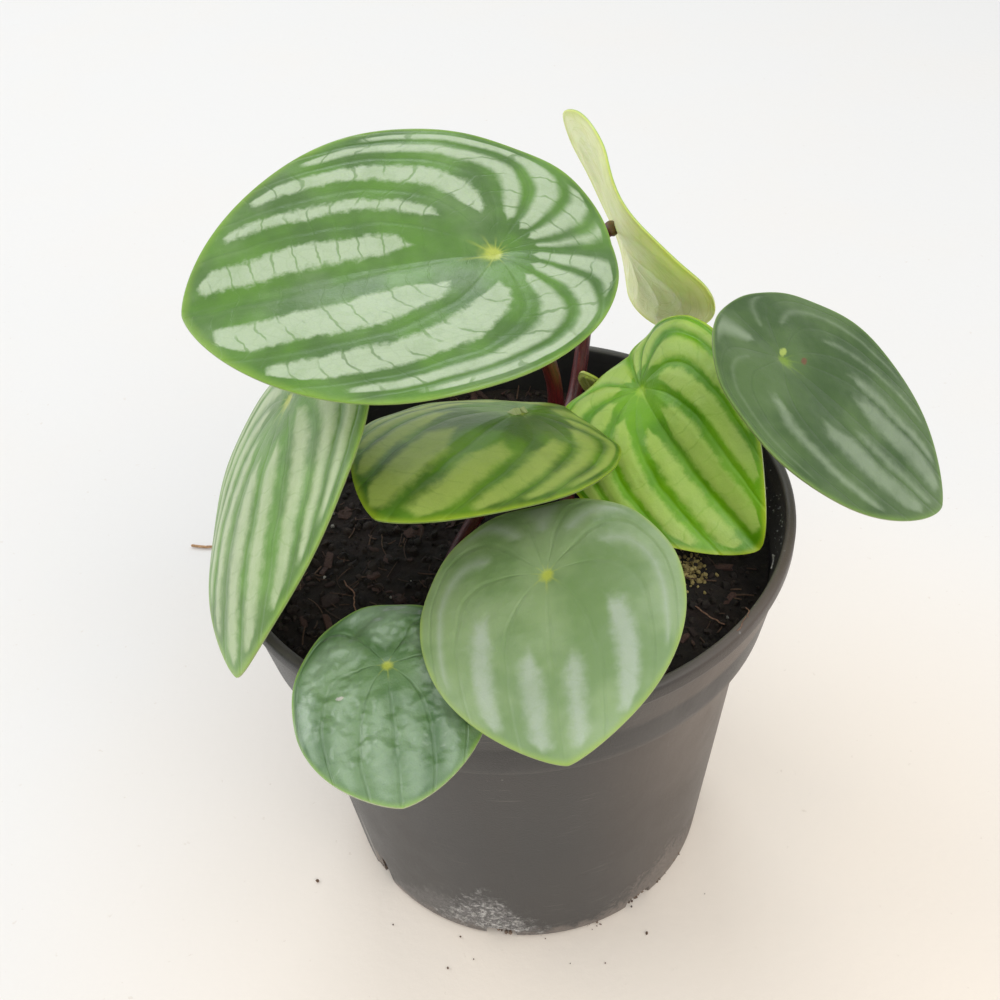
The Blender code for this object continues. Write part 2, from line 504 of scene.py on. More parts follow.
class Group(Graph):
    """A node group with named inputs and outputs."""

    def __init__(self, name: str, inputs: dict[str, str], outputs: dict[str, str]) -> None:
        """Makes an empty group.

        Args:
            name: the group's name.
            inputs: each input's name and kind, Float, Vector or Color.
            outputs: each output's name and kind.
        """
        super().__init__(bpy.data.node_groups.new(name, "ShaderNodeTree"))
        for label, kind in inputs.items():
            self.tree.interface.new_socket(label, in_out="INPUT", socket_type="NodeSocket" + kind)
        for label, kind in outputs.items():
            self.tree.interface.new_socket(label, in_out="OUTPUT", socket_type="NodeSocket" + kind)
        self.given = self.tree.nodes.new("NodeGroupInput").outputs
        self.wanted = self.tree.nodes.new("NodeGroupOutput").inputs

    def give(self, **values: Socket) -> bpy.types.NodeTree:
        """Feeds the outputs by name and returns the finished group."""
        for name, value in values.items():
            self.feed(self.wanted[name], value)
        return self.tree


class Finish(Graph):
    """One material: a Principled BSDF and what feeds it."""

    def __init__(self, name: str, roughness: float, **constants: float) -> None:
        """Makes the material.

        Args:
            name: the material's name.
            roughness: its plain roughness.
            constants: other values for the shader's sockets, by name with underscores.
        """
        self.material = bpy.data.materials.new(name)
        self.material.use_nodes = True
        super().__init__(self.material.node_tree)
        self.shader = self.tree.nodes["Principled BSDF"]
        self.shader.inputs["Roughness"].default_value = roughness
        for label, value in constants.items():
            self.shader.inputs[label.replace("_", " ")].default_value = value

    def paint(
        self, colour: object, roughness: object = None, normal: Socket | None = None
    ) -> bpy.types.Material:
        """Feeds the shader.

        Args:
            colour: the base colour.
            roughness: the roughness, where it varies.
            normal: the bumped normal.

        Returns:
            The finished material.
        """
        self.feed(self.shader.inputs["Base Color"], colour)
        if roughness is not None:
            self.feed(self.shader.inputs["Roughness"], roughness)
        if normal is not None:
            self.feed(self.shader.inputs["Normal"], normal)
        return self.material


def kinds(kind: str, *labels: str) -> dict[str, str]:
    """Sockets of one kind, by name."""
    return {label: kind for label in labels}


FLOW_BESIDE = 2.3
FLOW_EDGE = 0.6


def vein_flow() -> bpy.types.NodeTree:
    """The lines that the veins follow over a blade.

    They leave the stalk's joint evenly, bend towards the tip and run beside the
    midrib. Turn is a line's angle at the joint as a share of a full turn from the
    base side, and Reach goes from 0 at the joint to 1 at the margin.
    """
    g = Group(
        "vein_flow",
        {"Disc": "Vector", "Flat": "Vector", "Sway": "Float"},
        {"Turn": "Float", "Reach": "Float", "Flow": "Vector"},
    )
    x, y, _ = g.split(g.given["Disc"])
    reach = g.most(g.vector("LENGTH", g.given["Disc"]), 0.001)
    towards = g.times_plus(g.maths("DIVIDE", x, reach), 0.5, 0.5)
    beside = g.times(g.times(reach, FLOW_BESIDE), g.maths("POWER", towards, 2.0))
    edge = g.times(g.maths("POWER", reach, 5.0), FLOW_EDGE)
    bend = g.times(y, g.plus(beside, edge))
    angle = g.plus(g.maths("ARCTAN2", y, x), bend)
    sway = g.less(g.noise(g.given["Flat"], 0.11, 1.0), 0.5)
    fade = g.step(reach, 0.1, 0.5)
    angle = g.times_plus(g.times(sway, fade), g.given["Sway"], angle)
    turn = g.times_plus(angle, 0.5 / math.pi, 0.5)
    return g.give(Turn=turn, Reach=reach, Flow=g.joined(angle, reach))


def flow_angle(x: np.ndarray, y: np.ndarray) -> np.ndarray:
    """The angle in degrees at the stalk's joint of the flow line through each place.

    Args:
        x: the place towards the tip, on a disc of radius 1.
        y: the place towards the left side.
    """
    reach = np.maximum(np.hypot(x, y), 0.001)
    towards = (1.0 + x / reach) / 2.0
    bend = y * (FLOW_BESIDE * reach * towards**2 + FLOW_EDGE * reach**5)
    return np.degrees(np.arctan2(y, x) + bend)


def leaf_face() -> bpy.types.NodeTree:
    """The upper side of a blade: silver stripes between green veins."""
    g = Group(
        "leaf_face",
        {
            **kinds("Float", "Band", "Vein", "Reach"),
            **kinds("Vector", "Flow", "Flat"),
            **kinds("Float", "Run", "Start", "Silvering", "Gloss", "Blur", "Cross"),
            **kinds("Color", "Green", "Deep", "Silver", "Margin", "Spot"),
        },
        {"Color": "Color", "Roughness": "Float", "Height": "Float"},
    )
    flat, reach, band, vein, blur = (g.given[n] for n in ("Flat", "Reach", "Band", "Vein", "Blur"))
    angle, _, _ = g.split(g.given["Flow"])
    beside = g.maths("ABSOLUTE", angle)
    jag = g.times_plus(g.noise(flat, 0.6, 4.0, 0.65), 11.0, -5.5)
    jag = g.times(jag, g.step(beside, 1.5, 2.2, 1.0, 0.3))
    late = g.maths("DIVIDE", g.less(g.given["Start"], reach), 0.2)
    late = g.times(g.most(late, 0.0), -24.0)
    rim = g.step(reach, 0.92, 1.02, 0.0, -26.0)
    inside = g.plus(g.plus(band, jag), g.plus(late, rim))
    stripe = g.step(inside, g.times(blur, -1.6), g.times(blur, 1.6))
    lean = g.times(beside, -0.9)
    own = g.times(g.noise(g.joined(angle, 0.0), 1.7, 0.0), 1.5)
    way = g.plus(g.times_plus(g.given["Run"], 0.29, lean), own)
    way = g.times_plus(g.noise(flat, 0.3, 2.0), 0.55, way)
    rung = g.maths("PINGPONG", way, 0.5)
    broken = g.step(g.noise(flat, 0.2, 2.0), 0.36, 0.56)
    rungs = g.times(g.step(rung, 0.025, 0.075, 1.0, 0.0), broken)
    fine = g.cracks(g.joined(g.times(angle, 5.0), g.times(way, 1.6)))
    threads = g.step(fine, 0.0, 0.07, 0.13, 0.0)
    veined = g.times(g.most(rungs, threads), g.given["Cross"])
    left = g.times_plus(veined, -0.6, 1.0)
    patchy = g.step(g.noise(flat, 0.16, 3.0, 0.6), 0.28, 0.6, 0.8, 1.0)
    silver = g.times(g.times(stripe, left), g.times(patchy, g.given["Silvering"]))
    tone = g.step(g.noise(flat, 0.075, 3.0, 0.55), 0.36, 0.64)
    green = g.mix(tone, g.given["Deep"], g.given["Green"])
    bloom = g.step(g.noise(g.vector("ADD", flat, (70.0, 0.0, 0.0)), 0.08, 4.0, 0.6), 0.42, 0.72, 0.0, 0.15)
    green = g.mix(g.times(bloom, g.given["Silvering"]), green, g.given["Silver"])
    rib = g.times(g.step(vein, 0.0, 1.6, 1.0, 0.0), g.step(reach, 0.1, 0.3))
    green = g.mix(g.times(rib, 0.3), green, g.given["Deep"])
    body = g.mix(silver, green, g.given["Silver"])
    star = g.times(g.step(vein, 1.0, 7.0, 1.0, 0.0), g.step(reach, 0.04, 0.15, 0.4, 0.0))
    body = g.mix(star, body, g.given["Spot"])
    heart = g.step(g.times_plus(g.noise(flat, 0.5, 2.0), 0.05, reach), 0.045, 0.1, 0.9, 0.0)
    body = g.mix(heart, body, g.given["Spot"])
    wash = g.step(g.times_plus(g.noise(flat, 0.2, 2.0), 0.03, reach), 0.975, 1.025, 0.0, 0.85)
    body = g.mix(wash, body, g.given["Margin"])
    body = g.mix(g.step(g.noise(flat, 3.4, 4.0, 0.7), 0.35, 0.7, 0.0, 0.1), body, g.given["Deep"])
    groove = g.times(g.step(vein, 0.0, 4.0, -1.0, 0.0), g.step(reach, 0.06, 0.3))
    relief = g.times_plus(veined, -0.16, g.times(groove, 0.4))
    relief = g.times_plus(g.noise(flat, 0.45, 3.0), 0.7, relief)
    relief = g.times_plus(g.noise(flat, 2.6, 3.0, 0.7), 0.16, relief)
    shine = g.times_plus(silver, 0.08, g.given["Gloss"])
    shine = g.times_plus(g.noise(flat, 1.2, 4.0, 0.6), 0.16, shine)
    return g.give(Color=body, Roughness=g.less(shine, 0.08), Height=relief)


def leaf_back_face() -> bpy.types.NodeTree:
    """The underside of a blade: pale, with veins that stand out."""
    g = Group(
        "leaf_back_face",
        {
            **kinds("Float", "Vein", "Reach"),
            **kinds("Vector", "Flow", "Flat"),
            **kinds("Color", "Pale", "Olive"),
        },
        {"Color": "Color", "Roughness": "Float", "Height": "Float"},
    )
    flat, reach, vein = (g.given[n] for n in ("Flat", "Reach", "Vein"))
    tone = g.step(g.noise(flat, 0.09, 4.0, 0.6), 0.3, 0.7, 0.0, 0.45)
    body = g.mix(tone, g.given["Pale"], g.given["Olive"])
    rib = g.times(g.step(vein, 0.0, 4.0, 1.0, 0.0), g.step(reach, 0.95, 0.3))
    angle, along, _ = g.split(g.given["Flow"])
    net = g.cracks(g.joined(g.times(angle, 3.0), g.times(along, 14.0)))
    thread = g.step(net, 0.0, 0.08, 0.3, 0.0)
    body = g.mix(g.most(g.times(rib, 0.5), thread), body, g.given["Olive"])
    body = g.mix(g.step(reach, 0.93, 1.0, 0.0, 0.7), body, g.given["Olive"])
    body = g.mix(g.step(g.noise(flat, 3.0, 4.0, 0.7), 0.4, 0.7, 0.0, 0.12), body, g.given["Olive"])
    relief = g.times_plus(thread, 0.8, rib)
    relief = g.times_plus(g.noise(flat, 4.0, 3.0, 0.7), 0.2, relief)
    shine = g.times_plus(g.noise(flat, 1.0, 3.0), 0.2, 0.34)
    return g.give(Color=body, Roughness=shine, Height=relief)


def dust() -> bpy.types.NodeTree:
    """Fine dust and rubbed spots: a mask that is 1 where it lies."""
    g = Group("dust", {"Place": "Vector", "Amount": "Float"}, {"Mask": "Float", "Specks": "Float"})
    place = g.given["Place"]
    cloud = g.step(g.noise(place, 0.06, 5.0, 0.65), 0.42, 0.75)
    grit = g.step(g.noise(place, 2.2, 4.0, 0.75), 0.6, 0.72)
    mask = g.maths("MULTIPLY", g.times_plus(grit, 0.4, cloud), g.given["Amount"], clamp=True)
    cells = g.node("TexVoronoi", feature="F1")
    g.feed(cells.inputs["Vector"], place)
    cells.inputs["Scale"].default_value = 0.32
    specks = g.step(cells.outputs["Distance"], 0.05, 0.09, 1.0, 0.0)
    return g.give(Mask=mask, Specks=specks)


# ---------------------------------------------------------------- leaves


@dataclass(frozen=True)
class BladeSize:
    """One blade's place, set and outline, in millimetres and degrees."""

    joint: tuple[float, float, float]
    heading: float
    pitch: float
    roll: float
    length: float
    width: float
    shift: float
    point: float
    tip: float
    base: float
    left: float
    right: float
    fold: float


@dataclass(frozen=True)
class StalkSize:
    """One stalk's direction at the crown, its pull at both ends and its radii."""

    azimuth: float
    climb: float
    low_pull: float
    high_pull: float
    low_radius: float
    high_radius: float


@dataclass(frozen=True)
class LeafFinish:
    """A blade's colours and vein pattern.

    A vein is its angle at the stalk's joint and the half width of the green beside
    it, both in degrees; what is left between two veins turns silver.
    """

    green: Colour
    deep: Colour
    silver: Colour
    margin: Colour
    veins: tuple[tuple[float, float], ...]
    start: float = 0.4
    silvering: float = 1.0
    gloss: float = 0.36
    pucker: float = 0.25
    quilt: float = 0.1
    wave: float = 0.35
    relief: float = 0.00018
    sway: float = 0.15
    blur: float = 1.0
    cross: float = 1.0
    coat: float = 0.15
    glow: float = 0.2
    spot: Colour = (0.50, 0.56, 0.08)
    marks: tuple[tuple[float, float, float, Colour], ...] = ()
    pale: Colour = (0.50, 0.56, 0.30)
    olive: Colour = (0.26, 0.32, 0.10)

    def turns(self) -> list[tuple[float, float, float, float]]:
        """Each vein and the next one round, with their half widths."""
        ring = sorted(self.veins)
        ring = [(ring[-1][0] - 360.0, ring[-1][1]), *ring, (ring[0][0] + 360.0, ring[0][1])]
        return [(*first, *second) for first, second in zip(ring, ring[1:])]

    def bands(self) -> list[tuple[float, float]]:
        """Points of the line that says how far inside a silver stripe an angle is."""
        line = []
        for angle, half, after, half_after in self.turns():
            room = (after - half_after) - (angle + half)
            line += [(angle, -half), (angle + half + room / 2.0, room / 2.0)]
        return [*line, (after, -half_after)]

    def distances(self) -> list[tuple[float, float]]:
        """Points of the line that says how far an angle is from the nearest vein."""
        line = []
        for angle, _, after, _ in self.turns():
            line += [(angle, 0.0), ((angle + after) / 2.0, (after - angle) / 2.0)]
        return [*line, (after, 0.0)]


BAND_SPAN = 90.0
VEIN_SPAN = 60.0


def as_curve(line: list[tuple[float, float]], middle: float, span: float) -> list[tuple[float, float]]:
    """A line over angles as points of a curve from 0 to 1.

    Args:
        line: points as (angle, value), in degrees.
        middle: what a value of 0 becomes.
        span: how many degrees the curve's height stands for.
    """
    angles, values = zip(*line)
    inner = [(a, v) for a, v in line if -180.0 < a < 180.0]
    ends = [(a, float(np.interp(a, angles, values))) for a in (-180.0, 180.0)]
    return [(a / 360.0 + 0.5, middle + v / span) for a, v in (ends[0], *inner, ends[1])]


BLADE_AROUND = 288
BLADE_RINGS = 72
THICKNESS = 0.95
FULL_WIDTH = 29.0
MARGIN_BEVEL = 0.14
STALK_STEPS = 44
STALK_AROUND = 28
STALK_FLATNESS = 0.93
TIP_SPREAD = 0.3
CROWN_MIDDLE = Vector((10.0, 23.0, 80.45))
CROWN_RADIUS = 7.0
CROWN_CLEARANCE = 0.45


@dataclass
class Leaf:
    """One blade and its stalk."""

    name: str
    size: BladeSize
    stalk: StalkSize
    finish: LeafFinish
    seed: int
    flare: float = 1.3
    blade: bpy.types.Object | None = field(default=None, init=False)
    stem: bpy.types.Object | None = field(default=None, init=False)

    def outline(self, angle: np.ndarray) -> np.ndarray:
        """The distance from the stalk's joint to the margin, in millimetres."""
        s = self.size
        c, n = np.cos(angle), np.sin(angle)
        square = (c / s.length) ** 2 + (n / s.width) ** 2
        cross = -2.0 * c * s.shift / s.length**2
        rest = (s.shift / s.length) ** 2 - 1.0
        reach = (-cross + np.sqrt(cross * cross - 4.0 * square * rest)) / (2.0 * square)
        return reach * (1.0 + s.point * np.exp(-((np.abs(angle) / TIP_SPREAD) ** 1.3)))

    def bent(self, x: np.ndarray, y: np.ndarray) -> np.ndarray:
        """Bends the flat blade: along its midrib, and down or up to either side.

        Args:
            x: places towards the tip, in millimetres.
            y: places towards the left side, in millimetres.

        Returns:
            Points with the joint at the origin, in rows.
        """
        s = self.size
        side = np.radians(np.where(y > 0.0, s.left, s.right)) / s.width
        side = np.where(np.abs(side) < 1e-5, 1e-5, side)
        slope = math.radians(s.fold)
        end = side * np.abs(y) - slope
        across = (np.sin(end) + math.sin(slope)) / side
        lift = (np.cos(end) - math.cos(slope)) / side
        tip = math.radians(s.tip) / ((s.length + s.shift) * (1.0 + s.point))
        base = math.radians(s.base) / (s.length - s.shift)
        bow = np.where(x > 0.0, tip, base)
        bow = np.where(np.abs(bow) < 1e-5, 1e-5, bow)
        along = np.sin(bow * np.abs(x)) / bow * np.sign(x)
        drop = (np.cos(bow * np.abs(x)) - 1.0) / bow
        angle = bow * x
        return np.stack(
            [along + lift * np.sin(angle), np.copysign(across, y), drop + lift * np.cos(angle)], axis=1
        )

    def turned(self) -> Matrix:
        """The blade's turn: heading, then pitch, then roll."""
        s = self.size
        heading = Matrix.Rotation(math.radians(s.heading), 3, "Z")
        pitch = Matrix.Rotation(math.radians(s.pitch), 3, "Y")
        return heading @ pitch @ Matrix.Rotation(math.radians(s.roll), 3, "X")

    def relief(self, x: np.ndarray, y: np.ndarray, flat: np.ndarray) -> np.ndarray:
        """How far the blade's skin stands above its smooth sheet, in millimetres.

        Args:
            x: places towards the tip, on a disc of radius 1.
            y: places towards the left side.
            flat: the same places in millimetres, in rows.
        """
        f = self.finish
        reach = np.hypot(x, y)
        angles, gaps = zip(*f.distances())
        gap = np.interp(flow_angle(x, y), angles, gaps)
        inner, outer = ease(0.1, 0.42, reach), 1.0 - ease(0.8, 1.0, reach)
        height = f.pucker * (ease(0.0, 15.0, gap) - 0.45) * inner * outer
        height += f.quilt * rough(flat, 5.0, 3, self.seed) * inner * outer
        angle = np.arctan2(y, x)
        for waves, share in ((3, 1.0), (5, 0.6), (9, 0.35)):
            turn = math.sin(self.seed * 1.7 + waves) * math.pi
            height += f.wave * share * np.sin(waves * angle + turn) * reach**4
        dimple = -0.35 * np.exp(-((reach / 0.075) ** 2)) - 0.35 * np.exp(-((reach / 0.22) ** 2))
        return height + dimple * self.size.width / FULL_WIDTH

    def build_blade(self) -> None:
        """Wraps a grid round the stalk's joint and gives it thickness."""
        piece, share = Bench.grid(f"blade_{self.name}", BLADE_RINGS, BLADE_AROUND)
        reach = share[:, 0] ** 0.85
        wide = 2.0 * share[:, 1] - 1.0
        angle = math.pi * (0.72 * wide + 0.28 * wide**3)
        x, y = reach * np.cos(angle), reach * np.sin(angle)
        edge = self.outline(angle)
        flat = np.stack([x * edge, y * edge, np.zeros(len(x))], axis=1)
        sheet = self.bent(flat[:, 0], flat[:, 1])
        turn = np.array(self.turned())
        place = np.array(self.size.joint)
        Bench.shape(piece, (sheet @ turn.T + place) * MM)
        Bench.attribute(piece, "disc", np.stack([x, y, np.zeros(len(x))], axis=1))
        Bench.attribute(piece, "flat", flat)
        Bench.weld(piece, 2e-6)
        self.raise_skin(piece)
        self.thicken(piece)
        self.blade = piece

    def raise_skin(self, piece: bpy.types.Object) -> None:
        """Moves the sheet along its normals by the relief."""
        disc = Bench.read(piece, "disc")
        flat = Bench.read(piece, "flat")
        height = self.relief(disc[:, 0], disc[:, 1], flat)
        Bench.shape(piece, Bench.corners(piece) + Bench.normals(piece) * height[:, None] * MM)

    def thicken(self, piece: bpy.types.Object) -> None:
        """Gives the sheet its fleshy body, thinner towards a rounded margin."""
        disc = Bench.read(piece, "disc")
        body = 0.5 + 0.5 * (1.0 - ease(0.8, 1.0, np.hypot(disc[:, 0], disc[:, 1])))
        group = piece.vertex_groups.new(name="body")
        for index, weight in enumerate(body):
            group.add([index], float(weight), "REPLACE")
        sheet = len(piece.data.vertices)
        Bench.modify(
            piece, "SOLIDIFY", thickness=THICKNESS * MM, offset=-1.0, vertex_group="body",
            use_quality_normals=True,
        )
        under = np.zeros(len(piece.data.vertices))
        under[sheet:] = 1.0
        Bench.attribute(piece, "under", under)
        Bench.modify(
            piece, "BEVEL", width=MARGIN_BEVEL * MM, segments=2, limit_method="ANGLE",
            angle_limit=math.radians(50),
        )
        piece.vertex_groups.clear()
        Bench.smooth(piece)

    def stalk_path(self, steps: int) -> list[Vector]:
        """Points along the stalk, from inside the crown to inside the blade."""
        s = self.stalk
        azimuth, climb = math.radians(s.azimuth), math.radians(s.climb)
        out = Vector(
            (math.cos(azimuth) * math.cos(climb), math.sin(azimuth) * math.cos(climb), math.sin(climb))
        )
        up = self.turned() @ Vector((0.0, 0.0, 1.0))
        start = CROWN_MIDDLE + out * (CROWN_RADIUS + CROWN_CLEARANCE)
        below = 0.8 + 0.2 * self.size.width / FULL_WIDTH + 0.8 * self.flare * s.high_radius
        end = Vector(self.size.joint) - up * below
        first, second = start + out * s.low_pull, end - up * s.high_pull
        path = [start - out * 3.0, start - out * 1.4]
        for step in range(steps + 1):
            t = step / steps
            a, b = (1.0 - t) ** 3, 3.0 * t * (1.0 - t) ** 2
            path.append(start * a + first * b + second * (3.0 * t * t * (1.0 - t)) + end * t**3)
        return path

    def build_stalk(self) -> None:
        """Sweeps the stalk, swollen where it leaves the crown and meets the blade."""
        s = self.stalk
        path = self.stalk_path(STALK_STEPS)
        radii = []
        for index in range(len(path)):
            way = index / (len(path) - 1)
            radius = s.low_radius + (s.high_radius - s.low_radius) * way
            radius *= 1.0 + 0.35 * math.exp(-((way / 0.08) ** 2))
            radius *= 1.0 + (self.flare - 1.0) * math.exp(-(((1.0 - way) / 0.045) ** 2))
            radii.append(radius * (1.0 + 0.03 * math.sin(way * 23.0 + self.seed)))
        self.stem = swept(f"petiole_{self.name}", path, radii, STALK_AROUND, STALK_FLATNESS)

    def dress_blade(self, groups: dict[str, bpy.types.NodeTree]) -> None:
        """Gives the blade its striped face and pale underside."""
        f = self.finish
        g = Finish(
            f"blade_{self.name}", f.gloss, Coat_Weight=f.coat, Coat_Roughness=0.24, Subsurface_Weight=f.glow,
            Subsurface_Scale=0.001,
        )
        g.shader.inputs["Subsurface Radius"].default_value = (1.2, 1.6, 0.5)
        disc, flat = g.attribute("disc"), g.attribute("flat")
        shifted = g.vector("ADD", flat, (self.seed * 31.0, self.seed * 13.0, 0.0))
        turn, reach, flow = g.use(groups["flow"], Disc=disc, Flat=shifted, Sway=f.sway)
        band = g.curve(turn, as_curve(f.bands(), 0.5, BAND_SPAN))
        band = g.times_plus(band, BAND_SPAN, -0.5 * BAND_SPAN)
        vein = g.times(g.curve(turn, as_curve(f.distances(), 0.0, VEIN_SPAN)), VEIN_SPAN)
        face = g.use(
            groups["face"], Band=band, Vein=vein, Reach=reach, Flow=flow, Flat=shifted,
            Run=g.vector("LENGTH", flat), Start=f.start, Silvering=f.silvering, Gloss=f.gloss, Blur=f.blur,
            Cross=f.cross, Green=f.green, Deep=f.deep, Silver=f.silver, Margin=f.margin, Spot=f.spot,
        )
        back = g.use(
            groups["back"], Vein=vein, Reach=reach, Flow=flow, Flat=shifted, Pale=f.pale, Olive=f.olive
        )
        under = g.attribute("under", "Fac")
        colour = g.mix(under, self.marked(g, face[0], flat), back[0])
        shine = g.plus(face[1], g.times(under, g.less(back[1], face[1])))
        height = g.plus(face[2], g.times(under, g.less(back[2], face[2])))
        self.blade.data.materials.append(g.paint(colour, shine, g.bump(height, f.relief)))

    def marked(self, g: Graph, colour: Socket, flat: Socket) -> Socket:
        """Adds the small scars and blemishes to the upper side.

        Args:
            g: the material's nodes.
            colour: the upper side's colour.
            flat: the place on the flat blade, in millimetres.

        Returns:
            The colour with the marks on it.
        """
        for x, y, radius, stain in self.finish.marks:
            aside = g.vector("MULTIPLY", g.vector("SUBTRACT", flat, (x, y, 0.0)), (1.0, 0.6, 1.0))
            away = g.vector("LENGTH", aside)
            away = g.times_plus(g.noise(flat, 1.4, 3.0), radius, away)
            colour = g.mix(g.step(away, radius * 0.9, radius * 1.4, 0.9, 0.0), colour, stain)
        return colour

    def finish_off(self) -> None:
        """Hangs both pieces on the plant."""
        Bench.ride(self.blade, f"leaf_{self.name}", (f"leaf_{self.name}",))
        Bench.ride(self.stem, "stalk", (f"stalk_{self.name}",))


@dataclass(frozen=True)
class StalkFinish:
    """Burgundy skin with fine pale streaks, greener at both ends."""

    red: Colour = (0.145, 0.014, 0.016)
    dark: Colour = (0.052, 0.007, 0.010)
    green: Colour = (0.26, 0.22, 0.05)

    def material(self) -> bpy.types.Material:
        """Makes the stalks' material."""
        g = Finish("stalk", 0.3, Coat_Weight=0.25, Coat_Roughness=0.15)
        place = g.millimetres()
        way = g.attribute("along", "Fac")
        x, y, z = g.split(g.attribute("round"))
        skin = g.joined(g.times(x, 3.2), g.times(y, 3.2), g.times(z, 5.0))
        streaks = g.noise(skin, 1.6, 4.0, 0.7)
        body = g.mix(g.step(streaks, 0.35, 0.65), self.dark, self.red)
        flecks = g.step(g.noise(g.vector("MULTIPLY", place, (1.0, 1.0, 0.35)), 2.6, 2.0), 0.62, 0.72, 0.0, 0.35)
        body = g.mix(flecks, body, (0.36, 0.10, 0.06))
        ends = g.most(g.step(way, 0.97, 1.0, 0.0, 0.35), g.step(way, 0.0, 0.12, 0.45, 0.0))
        body = g.mix(ends, body, self.green)
        relief = g.times_plus(g.noise(place, 3.0, 3.0), 0.5, streaks)
        return g.paint(body, g.step(streaks, 0.2, 0.8, 0.26, 0.42), g.bump(relief, 0.00012))


# ---------------------------------------------------------------- crown


@dataclass
class Crown:
    """The short stem: a knuckle with the scars and stubs of older stalks, in millimetres."""

    radius: float = 6.6
    scars: int = 9
    stubs: int = 5
    squash: float = 0.78

    def knuckle(self) -> bpy.types.Object:
        """Shapes a ball into the scarred, lumpy stem."""
        Bench.clear()
        bpy.ops.mesh.primitive_uv_sphere_add(segments=96, ring_count=64, radius=1.0)
        piece = Bench.take("crown_knuckle")
        ball = Bench.corners(piece)
        draw = random.Random(7)
        radius = self.radius * (1.0 + 0.07 * rough(ball * 10.0, 5.0, 4, 3.0))
        for _ in range(self.scars):
            turn, up = draw.uniform(0.0, FULL_TURN), draw.uniform(0.05, 0.8)
            flat = math.sqrt(1.0 - up * up)
            facing = ball @ np.array([math.cos(turn) * flat, math.sin(turn) * flat, up])
            away = np.degrees(np.arccos(np.clip(facing, -1.0, 1.0)))
            radius += 0.5 * np.exp(-(((away - 17.0) / 4.0) ** 2)) - 0.45 * np.exp(-((away / 12.0) ** 2))
        squash = np.array([1.0, 1.0, self.squash])
        Bench.shape(piece, (ball * radius[:, None] * squash + np.array(CROWN_MIDDLE)) * MM)
        Bench.smooth(piece)
        return piece

    def buds(self) -> bpy.types.Object:
        """Short pointed bracts and dried stubs that stand round the stem's top."""
        draw = random.Random(11)
        made = []
        for index in range(self.stubs):
            turn = draw.uniform(0.0, FULL_TURN)
            lean = draw.uniform(0.35, 0.9)
            out = Vector((math.cos(turn) * lean, math.sin(turn) * lean, 1.0)).normalized()
            base = CROWN_MIDDLE + out * self.radius * 0.72
            tall = draw.uniform(2.0, 3.6)
            path = [base + out * tall * k / 9.0 + Vector((0.0, 0.0, 0.5 * (k / 9.0) ** 2)) for k in range(10)]
            radii = [0.85 * math.cos(math.radians(80.0 * (k / 9.0) ** 1.5)) + 0.08 for k in range(10)]
            made.append(swept(f"crown_bud_{index}", path, radii, 14, 0.8))
        Bench.clear()
        for bud in made:
            bud.select_set(True)
        bpy.context.view_layer.objects.active = made[0]
        bpy.ops.object.join()
        made[0].name = made[0].data.name = "crown_buds"
        return made[0]

    def material(self) -> bpy.types.Material:
        """Makes the woody green and brown skin."""
        g = Finish("crown", 0.5, Coat_Weight=0.05)
        place = g.millimetres()
        tone = g.step(g.noise(place, 0.35, 5.0, 0.65), 0.36, 0.64)
        body = g.mix(tone, (0.085, 0.045, 0.018), (0.17, 0.17, 0.045))
        _, _, z = g.split(place)
        body = g.mix(g.step(z, 80.5, 84.5, 0.75, 0.0), body, (0.035, 0.020, 0.012))
        body = g.mix(g.step(g.noise(place, 1.9, 4.0, 0.7), 0.55, 0.7, 0.0, 0.6), body, (0.12, 0.022, 0.018))
        return g.paint(body, g.step(tone, 0.0, 1.0, 0.62, 0.4), g.bump(g.noise(place, 1.5, 6.0, 0.7), 0.0006))

    def make(self) -> None:
        """Builds, dresses and hangs the stem."""
        skin = self.material()
        for piece, nodes in ((self.knuckle(), ("crown",)), (self.buds(), ())):
            piece.data.materials.append(skin)
            Bench.ride(piece, "crown", nodes)


# ---------------------------------------------------------------- pot


@dataclass(frozen=True)
class Stain:
    """A ragged splash mark that narrows upwards from the pot's foot.

    Its middle and half width are degrees round the pot and its height is in
    millimetres. Thin and share, from 0 to 1, say how little of it there is and how
    much of its colour shows.
    """

    middle: float
    wide: float
    tall: float
    thin: float
    share: float
    colour: Colour

    def mask(self, g: Graph, around: Socket, z: Socket, place: Socket) -> Socket:
        """Where the mark lies, from 0 to 1.

        Args:
            g: the material's nodes.
            around: the angle round the pot, in degrees.
            z: the height in millimetres.
            place: the place in millimetres.
        """
        turn = g.apart(around, self.middle)
        share = g.plus(g.maths("DIVIDE", turn, self.wide), g.maths("DIVIDE", z, self.tall))
        body = g.less(1.15, share)
        ragged = g.times_plus(g.noise(place, 0.55, 6.0, 0.75), 1.5, -0.75)
        mark = g.step(g.plus(body, ragged), self.thin, self.thin + 0.4)
        return g.times(mark, g.step(g.noise(place, 1.7, 3.0, 0.7), 0.3, 0.62, 0.15, 1.0))


